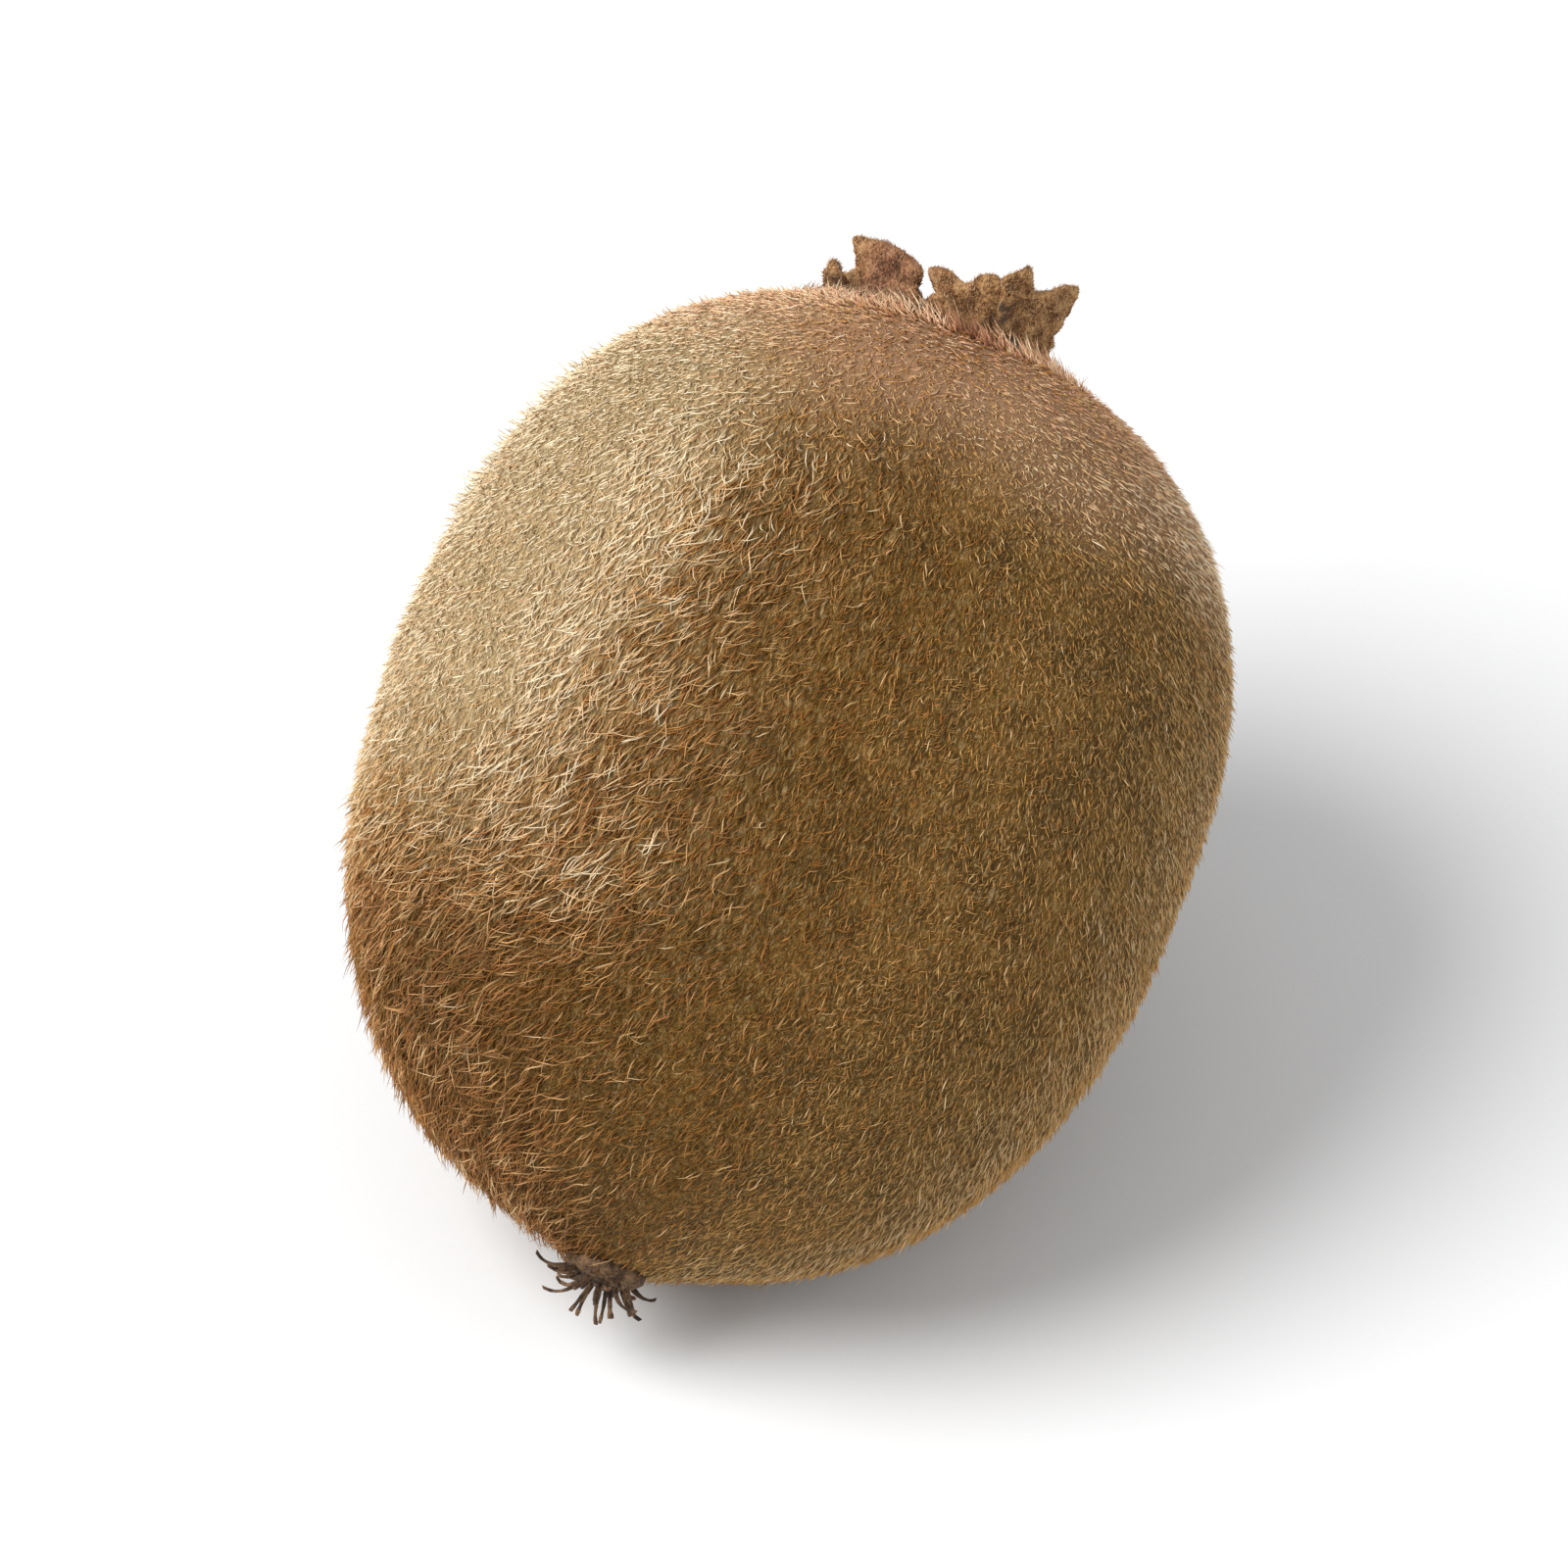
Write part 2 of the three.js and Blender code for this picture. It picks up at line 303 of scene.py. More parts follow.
studio = {
    "aim": (0.0, 0.0005, 0.0262),
    "look": (0.6486, 0.2888, -0.7046),  # down on the fruit at 45 degrees, from the left of its own front
    "distance": 0.832,
    "lens": 292.0,
    "keyPlace": (-0.42, 0.52, 0.86),
    "keySize": 0.8,
    "keyPower": 14.5,
    "fillPlace": (0.10, -0.85, 0.45),
    "fillSize": 0.8,
    "fillPower": 2.2,
    "worldColour": (0.97, 0.985, 1.0, 1.0),
    "worldStrength": 0.6,
    "floorSize": 6.0,
    "floorTone": (226, 226, 226),
}


def aimed(thing, target):
    thing.rotation_euler = (Vector(target) - thing.location).to_track_quat("-Z", "Y").to_euler()


def makeStudio():
    scene = bpy.context.scene
    lens = bpy.data.cameras.new("camera")
    lens.sensor_width = 36.0
    lens.lens = studio["lens"]
    lens.clip_start, lens.clip_end = 0.01, 50.0
    camera = linked("camera", lens)
    aim = Vector(studio["aim"])
    camera.location = aim - Vector(studio["look"]).normalized() * studio["distance"]
    aimed(camera, aim)
    scene.camera = camera

    for name in ("key", "fill"):
        lamp = bpy.data.lights.new(name + "_light", "AREA")
        lamp.shape = "DISK"
        lamp.size = studio[name + "Size"]
        lamp.energy = studio[name + "Power"]
        lampObject = linked(name + "_light", lamp)
        lampObject.location = studio[name + "Place"]
        aimed(lampObject, aim)

    world = bpy.data.worlds.new("soft_light")
    world.use_nodes = True
    background = world.node_tree.nodes["Background"]
    background.inputs["Color"].default_value = studio["worldColour"]
    background.inputs["Strength"].default_value = studio["worldStrength"]
    scene.world = world
    scene.view_settings.view_transform = "Standard"

    half = studio["floorSize"] / 2
    corners = [(-half, -half, 0), (half, -half, 0), (half, half, 0), (-half, half, 0)]
    floor = meshObject("floor", corners, [(0, 1, 2, 3)])
    paint, _, surface = newMaterial("pale_floor", 0.85, 0.1)
    surface.inputs["Base Color"].default_value = shade(*studio["floorTone"])
    floor.data.materials.append(paint)
    floor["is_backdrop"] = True


makeStudio()
print("studio ready")


# The fruit's form, in a frame of its own whose +Z runs along the core to the calyx end

fruitForm = {
    "halfWidth": 26.9,
    "halfDepth": 25.7,
    "calyxHalf": 31.4,
    "blossomHalf": 33.2,
    "calyxBluntness": 2.42,
    "blossomBluntness": 2.14,
    "dimpleDepth": 3.0,
    "dimpleRadius": 11.0,
    "tipHeight": 1.1,
    "tipRadius": 4.2,
    "shoulderFuller": 0.024,
    "shoulderAzimuth": -76 * degree,
    "cheekFuller": 0.06,
    "cheekPolar": 74 * degree,
    "cheekSpread": 40 * degree,
    "faceShare": 0.009,
    "faceCount": 3,
    "faceAzimuth": 25 * degree,
    "lean": 56 * degree,
    "flatDepth": 1.6,
    "gap": 0.3,
    "fineness": 6,
    "pressedFuzz": 0.2,
    "softEdge": 0.6,
    "relief": 0.10,
    "fineRelief": 0.35,
    "creaseCount": 19,
    "creaseDepth": 0.16,
    "creaseAt": 9.5,
    "creaseSpread": 3.0,
}


def dimpleAt(r):
    form = fruitForm
    return np.where(r < form["dimpleRadius"],
                    form["dimpleDepth"] / 2 * (1 + np.cos(math.pi * r / form["dimpleRadius"])), 0.0)


def tipAt(r):
    return fruitForm["tipHeight"] * bump(r, 0, fruitForm["tipRadius"])


def endHeight(r, end):
    power = fruitForm[end + "Bluntness"]
    share = (np.asarray(r) / fruitForm["halfDepth"]) ** power
    return fruitForm[end + "Half"] * (1 - share) ** (1 / power)


def calyxSkinHeight(r):
    return endHeight(r, "calyx") - dimpleAt(r)


def blossomSkinHeight(r):
    return -endHeight(r, "blossom") - tipAt(r)


def skinPoints(ways):
    form = fruitForm
    x, y, z = ways.T
    azimuth = np.arctan2(y, x)
    polar = np.arccos(np.clip(z, -1, 1))
    calyxSide = z > 0
    half = np.where(calyxSide, form["calyxHalf"], form["blossomHalf"])
    power = np.where(calyxSide, form["calyxBluntness"], form["blossomBluntness"])
    girth = np.hypot(x / form["halfDepth"], y / form["halfWidth"])
    reach = (girth ** power + (np.abs(z) / half) ** power) ** (-1 / power)
    shoulder = form["shoulderFuller"] * np.sin(2 * polar) * np.cos(azimuth - form["shoulderAzimuth"])
    away = np.hypot(np.abs(turnBetween(azimuth, 0.0)) * np.sin(polar), polar - form["cheekPolar"])
    cheek = form["cheekFuller"] * bump(away, 0, form["cheekSpread"])
    faces = (form["faceShare"] * np.sin(polar) ** 2
             * np.cos(form["faceCount"] * (azimuth - form["faceAzimuth"])))
    wider = 1 + np.where(calyxSide, shoulder, 0.0) + cheek + faces
    points = np.stack([x * reach * wider, y * reach * wider, z * reach], 1)
    r = np.hypot(points[:, 0], points[:, 1])
    points[:, 2] -= np.where(calyxSide, dimpleAt(r), tipAt(r))
    return points


def leaned(points):
    c, s = math.cos(fruitForm["lean"]), math.sin(fruitForm["lean"])
    x, y, z = np.asarray(points, float).T
    return np.stack([x * c + z * s, y, z * c - x * s], 1)


ball = bmesh.new()
bmesh.ops.create_icosphere(ball, subdivisions=fruitForm["fineness"], radius=1.0)
ways = unit(np.array([v.co for v in ball.verts]))
ballFaces = [[v.index for v in face.verts] for face in ball.faces]
ball.free()

ownSkin = skinPoints(ways)
lyingSkin = leaned(ownSkin)
boxLow, boxHigh = [np.array(corner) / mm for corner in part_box("fruit")]
restingPlace = (boxLow + boxHigh) / 2 - (lyingSkin.min(0) + lyingSkin.max(0)) / 2
restingPlace[2] = -(lyingSkin[:, 2].min() + fruitForm["flatDepth"])


# From the fruit's own frame in mm to the row frame in metres
def placed(points):
    return (leaned(points) + restingPlace) * mm


def makeSkin():
    form = fruitForm
    azimuth, r = turnAndRadius(ownSkin)
    calyxEnd = ownSkin[:, 2] > 15
    relief = (form["relief"] * lumps(ownSkin, 6.0, 1)
              + form["fineRelief"] * form["relief"] * lumps(ownSkin, 1.6, 2))
    waver = lumps(ownSkin, 5.0, 3, 1)
    creased = bump(r, form["creaseAt"], form["creaseSpread"])
    crease = np.cos(form["creaseCount"] * azimuth + 2.5 * waver) * creased * calyxEnd
    points = ownSkin + ways * (relief - form["creaseDepth"] * (1 - crease) / 2 * creased)[:, None]
    places = placed(points) / mm
    freeHeight = places[:, 2].copy()
    places[:, 2] = 0.5 * (freeHeight + np.sqrt(freeHeight ** 2 + form["softEdge"] ** 2))
    places[:, 2] += form["pressedFuzz"] * (1 - smooth(freeHeight / 1.6))
    return meshObject("skin", places * mm, ballFaces), freeHeight


skin, freeHeight = makeSkin()
print("skin made,", len(skin.data.polygons), "faces")


# Shader groups that several materials share

# Two sizes of patches and fine specks, as a colour and a height
def mottleGroup():
    tree = bpy.data.node_groups.new("mottle", "ShaderNodeTree")
    groupSockets(tree, "INPUT", "Float", "Patch size", "Grain size", "Grain")
    groupSockets(tree, "INPUT", "Color", "Dark", "Middle", "Pale")
    groupSockets(tree, "OUTPUT", "Color", "Colour")
    groupSockets(tree, "OUTPUT", "Float", "Height")
    given = addNode(tree, "NodeGroupInput").outputs
    inMm = scaled(tree, objectPlace(tree), 1 / mm)
    patch = noiseAt(tree, inMm, calc(tree, "DIVIDE", 1.0, given["Patch size"]), 4.0)
    grain = noiseAt(tree, inMm, calc(tree, "DIVIDE", 1.0, given["Grain size"]), 3.0, 0.7)
    centred = calc(tree, "SUBTRACT", grain, 0.5)
    level = total(tree, patch, product(tree, centred, given["Grain"]))
    colour = mixed(tree, ranged(tree, level, 0.32, 0.52), given["Dark"], given["Middle"])
    colour = mixed(tree, ranged(tree, level, 0.48, 0.70), colour, given["Pale"])
    addNode(tree, "NodeGroupOutput", {"Colour": colour, "Height": level})
    return tree


strandTones = ("Dark", "Russet", "Middle", "Pale", "Root", "Pale root")


# A hair's colour from its own map: u is how pale the hair is and v runs from root to tip, once in the
# lower half of the map and once in its upper half, which is for the reddish hairs
def strandGroup():
    tree = bpy.data.node_groups.new("strand", "ShaderNodeTree")
    groupSockets(tree, "INPUT", "Color", *strandTones, "Red tint")
    groupSockets(tree, "OUTPUT", "Color", "Colour")
    given = addNode(tree, "NodeGroupInput").outputs
    chart = addNode(tree, "ShaderNodeUVMap", uv_map="OFBake").outputs["UV"]
    parts = axesOf(tree, chart)
    colour = given["Dark"]
    for name, low, high in (("Russet", 0.05, 0.28), ("Middle", 0.28, 0.56), ("Pale", 0.56, 1.0)):
        colour = mixed(tree, ranged(tree, parts["X"], low, high), colour, given[name])
    red = calc(tree, "GREATER_THAN", parts["Y"], 0.5)
    along = calc(tree, "SUBTRACT", parts["Y"], product(tree, red, 0.5))
    root = mixed(tree, parts["X"], given["Root"], given["Pale root"])
    colour = mixed(tree, ranged(tree, along, -0.04, 0.27), root, colour)
    colour = mixed(tree, red, colour, given["Red tint"], "MULTIPLY")
    addNode(tree, "NodeGroupOutput", {"Colour": colour})
    return tree


mottle = mottleGroup()
strand = strandGroup()


def placeGroup(tree, group, values):
    return addNode(tree, "ShaderNodeGroup", values, node_tree=group).outputs


def mottled(tree, patchSize, grainSize, grain, dark, middle, pale):
    return placeGroup(tree, mottle, {
        "Patch size": patchSize, "Grain size": grainSize, "Grain": grain,
        "Dark": shade(*dark), "Middle": shade(*middle), "Pale": shade(*pale)})


def bumped(tree, surface, height, distance, strength):
    node = addNode(tree, "ShaderNodeBump", {"Height": height, "Distance": distance, "Strength": strength})
    tree.links.new(node.outputs["Normal"], surface.inputs["Normal"])


# The tones are in the order of strandTones
def hairMaterial(name, tones, roughness=0.5, redTint=(1.0, 0.83, 0.68, 1.0)):
    material, tree, surface = newMaterial(name, roughness, 0.35)
    colours = dict(zip(strandTones, [shade(*tone) for tone in tones]))
    colour = placeGroup(tree, strand, {**colours, "Red tint": redTint})["Colour"]
    tree.links.new(colour, surface.inputs["Base Color"])
    return material


skinLook = {
    "lit": (184, 158, 114),
    "ring": (188, 144, 110),
    "gap": (46, 27, 10),
    "fibre": (226, 196, 148),
    "fibreScale": (5200.0, 5200.0, 1300.0),
    "fibreDepth": 0.35 * mm,
}


def skinMaterial():
    material, tree, surface = newMaterial("thin_brown_skin", 0.8, 0.2)
    patches = mottled(tree, 3.2, 0.3, 0.9, (92, 66, 16), (112, 80, 24), (132, 97, 38))
    crownRed = painting(tree, "crownRed")
    colour = mixed(tree, painting(tree, "golden"), patches["Colour"], shade(*skinLook["lit"]))
    colour = mixed(tree, product(tree, crownRed, 0.8), colour, shade(*skinLook["ring"]))
    # Matted down in fine fibres that run along the core
    turned = addNode(tree, "ShaderNodeMapping", {
        "Vector": objectPlace(tree), "Rotation": (0.0, -fruitForm["lean"], 0.0)}).outputs[0]
    stretched = addNode(tree, "ShaderNodeMapping", {
        "Vector": turned, "Scale": skinLook["fibreScale"]}).outputs[0]
    fibre = noiseAt(tree, stretched, 1.0, 3.0, 0.7, 1.4)
    darkGaps = product(tree, ranged(tree, fibre, 0.36, 0.52, 1.0, 0.0),
                       calc(tree, "SUBTRACT", 1.0, product(tree, crownRed, 0.65)))
    paleFibres = ranged(tree, fibre, 0.52, 0.66, 0.0, 0.7)
    colour = mixed(tree, darkGaps, colour, mixed(tree, 0.7, colour, shade(*skinLook["gap"])))
    colour = mixed(tree, paleFibres, colour, mixed(tree, 0.5, colour, shade(*skinLook["fibre"])))
    tree.links.new(colour, surface.inputs["Base Color"])
    bumped(tree, surface, fibre, skinLook["fibreDepth"], 0.9)
    return material


# Hairs, grown on any mesh that carries the maps of their density, length, rise, comb, wildness and tone

hairDefaults = {"Lie down": 0.7, "Side bend": 0.15, "Wave": 0.0, "Wave turns": 0.6}
hairForm = {
    "riseByClump": 0.12,
    "riseSpread": 0.16,
    "shortest": 0.62,
    "fullest": 1.12,
    "sunk": 0.06 * mm,
    "middleFuller": 0.9,
    "floorSoftness": 0.2 * mm,
}


def hairTree():
    tree = bpy.data.node_groups.new("growHairs", "GeometryNodeTree")
    groupSockets(tree, "INPUT", "Geometry", "Geometry")
    groupSockets(tree, "INPUT", "Float", "Hairs per mm2", "Longest", "Root radius", "Clump size",
                 "Clump pull", "Clump turn", "Clump tone", "Tone spread", *hairDefaults)
    groupSockets(tree, "INPUT", "Int", "Segments", "Seed")
    groupSockets(tree, "INPUT", "Material", "Material")
    groupSockets(tree, "OUTPUT", "Geometry", "Geometry")
    given = addNode(tree, "NodeGroupInput").outputs

    def painted(name, kind="FLOAT"):
        return addNode(tree, "GeometryNodeInputNamedAttribute", {"Name": name}, data_type=kind).outputs[0]

    def chance(low, high, seed):
        node = addNode(tree, "FunctionNodeRandomValue", {"Min": low, "Max": high, "Seed": seed},
                       data_type="FLOAT")
        return socketOf(node.outputs, "Value")

    def stored(geometry, name, value, kind="FLOAT"):
        return addNode(tree, "GeometryNodeStoreNamedAttribute",
                       {"Geometry": geometry, "Name": name, "Value": value},
                       data_type=kind, domain="POINT").outputs[0]

    def moved(geometry, **places):
        return addNode(tree, "GeometryNodeSetPosition", {"Geometry": geometry, **places}).outputs[0]

    def position():
        return addNode(tree, "GeometryNodeInputPosition").outputs[0]

    # Roots
    density = product(tree, painted("density"), given["Hairs per mm2"], 1e6)
    scatter = addNode(tree, "GeometryNodeDistributePointsOnFaces", {
        "Mesh": given["Geometry"], "Density": density, "Seed": given["Seed"]}, distribute_method="RANDOM")
    root = position()
    outward = scatter.outputs["Normal"]
    cell = addNode(tree, "ShaderNodeTexVoronoi", {
        "Vector": scaled(tree, root, 1 / mm),
        "Scale": calc(tree, "DIVIDE", 1.0, given["Clump size"])}).outputs
    cellSpread = [timesPlus(tree, part, 2.0, -1.0) for part in axesOf(tree, cell["Color"])]

    # The way each hair points
    comb = across(tree, "NORMALIZE", painted("comb", "FLOAT_VECTOR"))
    beside = across(tree, "NORMALIZE", across(tree, "CROSS_PRODUCT", outward, comb))
    turn = total(tree, product(tree, cellSpread[0], given["Clump turn"]),
                 product(tree, chance(-1.0, 1.0, 11), painted("wild")))
    comb = across(tree, "NORMALIZE", across(tree, "ADD", comb, scaled(tree, beside, turn)))
    rise = total(tree, painted("rise"), product(tree, cellSpread[1], hairForm["riseByClump"]),
                 chance(-hairForm["riseSpread"], hairForm["riseSpread"], 12))
    sine, cosine = calc(tree, "SINE", rise), calc(tree, "COSINE", rise)
    way = across(tree, "ADD", scaled(tree, outward, sine), scaled(tree, comb, cosine))
    length = product(tree, painted("long"), given["Longest"],
                     chance(hairForm["shortest"], hairForm["fullest"], 13), mm)

    # How it bends: down to the skin, sideways, towards its clump, and in a wave
    down = product(tree, length, sine, given["Lie down"], chance(-0.9, -0.2, 14))
    sideways = product(tree, length, given["Side bend"], chance(-1.0, 1.0, 15))
    toClump = across(tree, "SUBTRACT", scaled(tree, cell["Position"], mm), root)
    pull = scaled(tree, toClump, product(tree, given["Clump pull"], painted("vary")))
    lift = addNode(tree, "ShaderNodeVectorMath", {0: pull, 1: outward},
                   operation="DOT_PRODUCT").outputs["Value"]
    pull = across(tree, "SUBTRACT", pull, scaled(tree, outward, lift))
    bend = across(tree, "ADD", scaled(tree, outward, down), scaled(tree, beside, sideways))
    bend = across(tree, "ADD", bend, pull)
    wave = across(tree, "ADD", scaled(tree, beside, chance(-1.0, 1.0, 16)),
                  scaled(tree, outward, chance(0.0, 0.6, 17)))
    wave = scaled(tree, wave, product(tree, length, given["Wave"]))
    toneChange = total(tree, product(tree, cellSpread[2], given["Clump tone"]),
                       product(tree, chance(-1.0, 1.0, 18), given["Tone spread"]))
    tone = total(tree, painted("tone"), product(tree, toneChange, painted("vary")))

    points = moved(scatter.outputs["Points"], Offset=scaled(tree, outward, -hairForm["sunk"]))
    redHere = calc(tree, "LESS_THAN", chance(0.0, 1.0, 22), painted("red"))
    for name, value in (("hairTone", tone), ("hairRed", redHere), ("hairPhase", chance(0.0, 6.28, 19))):
        points = stored(points, name, value)
    for name, value in (("hairBend", bend), ("hairWave", wave)):
        points = stored(points, name, value, "FLOAT_VECTOR")

    # One hair: a fine three-sided cone, fuller along its middle
    cone = addNode(tree, "GeometryNodeMeshCone", {
        "Vertices": 3, "Side Segments": given["Segments"], "Radius Top": 0.0, "Radius Bottom": 1.0,
        "Depth": 1.0}, fill_type="NGON").outputs["Mesh"]
    parts = axesOf(tree, position())
    cone = stored(cone, "along", parts["Z"])
    cone = stored(cone, "side", parts["Y"])
    fuller = timesPlus(tree, parts["Z"], hairForm["middleFuller"], 1.0)
    wider = [product(tree, parts[axis], fuller) for axis in ("X", "Y")]
    cone = moved(cone, Position=vectorOf(tree, *wider, parts["Z"]))

    turned = addNode(tree, "FunctionNodeAxesToRotation", {"Primary Axis": way, "Secondary Axis": outward},
                     primary_axis="Z", secondary_axis="X").outputs[0]
    stout = timesPlus(tree, painted("vary"), 0.35, 0.7)
    thick = product(tree, given["Root radius"], chance(0.8, 1.2, 20), stout, mm)
    hairs = addNode(tree, "GeometryNodeInstanceOnPoints", {
        "Points": points, "Instance": cone, "Rotation": turned,
        "Scale": vectorOf(tree, thick, thick, length)}).outputs[0]
    hairs = addNode(tree, "GeometryNodeRealizeInstances", {"Geometry": hairs}).outputs[0]

    # The bends, then a soft stop at the surface that the fruit rests on
    along = painted("along")
    curve = scaled(tree, painted("hairBend", "FLOAT_VECTOR"), product(tree, along, along))
    swing = calc(tree, "SINE", total(tree, painted("hairPhase"),
                                     product(tree, along, given["Wave turns"], 6.28)))
    ripple = scaled(tree, painted("hairWave", "FLOAT_VECTOR"), product(tree, swing, along))
    hairs = moved(hairs, Offset=across(tree, "ADD", curve, ripple))
    parts = axesOf(tree, position())
    square = product(tree, parts["Z"], parts["Z"])
    height = calc(tree, "SQRT", total(tree, square, hairForm["floorSoftness"] ** 2))
    height = product(tree, total(tree, parts["Z"], height), 0.5)
    hairs = moved(hairs, Position=vectorOf(tree, parts["X"], parts["Y"], height))
    hairs = addNode(tree, "GeometryNodeSetMaterial", {
        "Geometry": hairs, "Material": given["Material"]}).outputs[0]
    addNode(tree, "NodeGroupOutput", {"Geometry": hairs})
    return tree


growHairs = hairTree()


# Grows one layer of hairs on a copy of the ground and keeps them as a plain mesh
def hairPiece(name, ground, maps, settings, material):
    soil = linked(name + "_ground", ground.data.copy())
    for mapName, values in maps.items():
        storeValues(soil.data, mapName, values)
    modifier = soil.modifiers.new("hairs", "NODES")
    modifier.node_group = growHairs
    settings = {**hairDefaults, **settings, "Material": material}
    for item in growHairs.interface.items_tree:
        if item.item_type == "SOCKET" and item.in_out == "INPUT" and item.name in settings:
            modifier[item.identifier] = settings[item.name]
    graph = bpy.context.evaluated_depsgraph_get()
    mesh = bpy.data.meshes.new_from_object(soil.evaluated_get(graph),
                                           preserve_all_data_layers=True, depsgraph=graph)
    soilMesh = soil.data
    bpy.data.objects.remove(soil)
    bpy.data.meshes.remove(soilMesh)
    mesh.name = name
    tone = np.clip(readValues(mesh, "hairTone"), 0, 1)
    reddish = readValues(mesh, "hairRed") > 0.5
    chart = np.stack([tone * 0.98 + 0.01 + 0.004 * readValues(mesh, "side"),
                      0.01 + 0.48 * readValues(mesh, "along") + 0.5 * reddish], 1)
    corners = np.zeros(len(mesh.loops), np.int32)
    mesh.loops.foreach_get("vertex_index", corners)
    for attribute in [a.name for a in mesh.attributes if a.name[:4] in ("hair", "alon", "side")]:
        mesh.attributes.remove(mesh.attributes[attribute])
    layer = mesh.uv_layers.new(name="OFBake")
    layer.data.foreach_set("uv", chart[corners].astype(np.float32).ravel())
    mesh.polygons.foreach_set("use_smooth", [True] * len(mesh.polygons))
    print(name, "grown,", trianglesOf(mesh), "triangles")
    return linked(name, mesh)


# The fuzz over the whole skin

azimuth, coreRadius = turnAndRadius(ownSkin)
coreHeight = ownSkin[:, 2]
skinNormals = normalsOf(skin.data)


def facing(middle, spread):
    return bumpRound(azimuth, middle, spread)


# The way the hairs lie: towards the blossom end, turned by that many radians round the skin
def combed(turn):
    polar = np.arccos(np.clip(ways[:, 2], -1, 1))
    radial = np.stack([np.cos(azimuth), np.sin(azimuth), 0 * azimuth], 1)
    around = np.stack([-np.sin(azimuth), np.cos(azimuth), 0 * azimuth], 1)
    down = np.cos(polar)[:, None] * radial - np.sin(polar)[:, None] * np.array([0, 0, 1.0])
    way = leaned(np.cos(turn)[:, None] * down - np.sin(turn)[:, None] * around)
    return laidFlat(way, skinNormals)


fuzz = {
    "under": {"Hairs per mm2": 6.0, "Longest": 0.72, "Root radius": 0.06, "Segments": 1,
              "Clump size": 0.9, "Clump pull": 0.3, "Clump turn": 0.3, "Clump tone": 0.14,
              "Tone spread": 0.2},
    "over": {"Hairs per mm2": 3.5, "Longest": 1.05, "Root radius": 0.06, "Segments": 2,
             "Clump size": 0.95, "Clump pull": 0.7, "Clump turn": 0.3, "Clump tone": 0.25,
             "Tone spread": 0.18, "Lie down": 0.6, "Side bend": 0.45, "Wave": 0.12},
    "long": {"Hairs per mm2": 3.4, "Longest": 1.0, "Root radius": 0.064, "Segments": 3,
             "Clump size": 1.3, "Clump pull": 0.75, "Clump turn": 0.4, "Clump tone": 0.26,
             "Tone spread": 0.18, "Lie down": 0.6, "Side bend": 0.42, "Wave": 0.2, "Wave turns": 0.7},
    "crown": {"Hairs per mm2": 8.0, "Longest": 1.0, "Root radius": 0.052, "Segments": 2,
              "Clump size": 1.0, "Clump pull": 0.4, "Clump turn": 0.7, "Clump tone": 0.25,
              "Tone spread": 0.25, "Lie down": 0.5, "Side bend": 0.3, "Wave": 0.1},
}

patchy = lumps(ownSkin, 13.0, 11, 2)
finePatchy = lumps(ownSkin, 4.5, 12, 2)
flecks = lumps(ownSkin, 2.2, 13, 2)
aroundCore = np.degrees(azimuth) % 360
# The regions, with edges that wander
wander = aroundCore + 7 * patchy + 4 * finePatchy
level = coreHeight + 2.5 * lumps(ownSkin, 9.0, 14, 2)
goldSide = falling(wander, 184, 32) * rising(wander, 70, 30) * rising(level, -22, 20)
streakSide = (rising(wander, 146, 16) * falling(wander, 208, 34)
              * rising(level, -22, 10) * falling(level, 23, 10))
paleStreak = bump(wander, 168, 14) * rising(level, -20, 10) * falling(level, 22, 10)
fineSide = rising(wander, 200, 26) * falling(wander, 310, 40)
lowShaggy = falling(wander, 198, 46) * rising(wander, 70, 30) * falling(level, -5, 12)
underCrown = bump(level, 23, 5) * (coreHeight > 0)
hiddenSide = np.clip(1 - rising(wander, 60, 40) + rising(wander, 290, 40), 0, 1)
bare = rising(coreRadius, 6.6, 1.2) + (coreHeight < 0)
# The shoulder below the crown on the side in view: a pinkish tan of its own, made paler as painted light
# where it faces away from the key light
shoulder = underCrown * (1 - hiddenSide) * (1 - goldSide)
farRight = rising(aroundCore, 235, 30) * (1 - hiddenSide)
clearOfRest = smooth(freeHeight / 1.2)
clearOfTip = np.where(coreHeight < 0, rising(coreRadius, 1.6, 1.6), 1.0)
grows = np.clip(bare, 0, 1) * (0.6 + 0.4 * clearOfRest) * clearOfTip
nearCrown = (coreHeight > 0) * falling(coreRadius, 22, 9)
felted = goldSide * (1 - streakSide)
strays = bump(wander, 104, 15) * rising(level, 2, 8) * falling(level, 25, 4) * smooth(0.5 + 2 * patchy)

storeValues(skin.data, "golden", 0.9 * goldSide + 0.2 * streakSide)
storeValues(skin.data, "crownRed", np.clip(nearCrown + 0.6 * shoulder, 0, 1))
skin.data.materials.append(skinMaterial())

turnRound = (0.45 * np.clip(facing(185, 30) + facing(225, 25), 0, 1) * falling(coreHeight, 22, 18)
             + 0.75 * facing(145, 42) * falling(coreHeight, -4, 14) + 0.12 * patchy
             + 0.35 * patchy * hiddenSide - 0.5 * facing(130, 32) * rising(coreHeight, -4, 14))
crownTurn = 2.6 * falling(coreRadius, 12, 1.6) + 0.3 * patchy
red = 0.3 - 0.15 * goldSide + 0.25 * lowShaggy + 0.1 * streakSide + 0.15 * patchy
red = np.clip(red, 0.05, 0.9)
red = red + (0.85 - red) * np.clip(nearCrown + 0.5 * shoulder, 0, 1)
rise = (0.58 + 0.08 * felted - 0.16 * streakSide + 0.06 * fineSide - 0.12 * nearCrown
        + 0.08 * finePatchy)
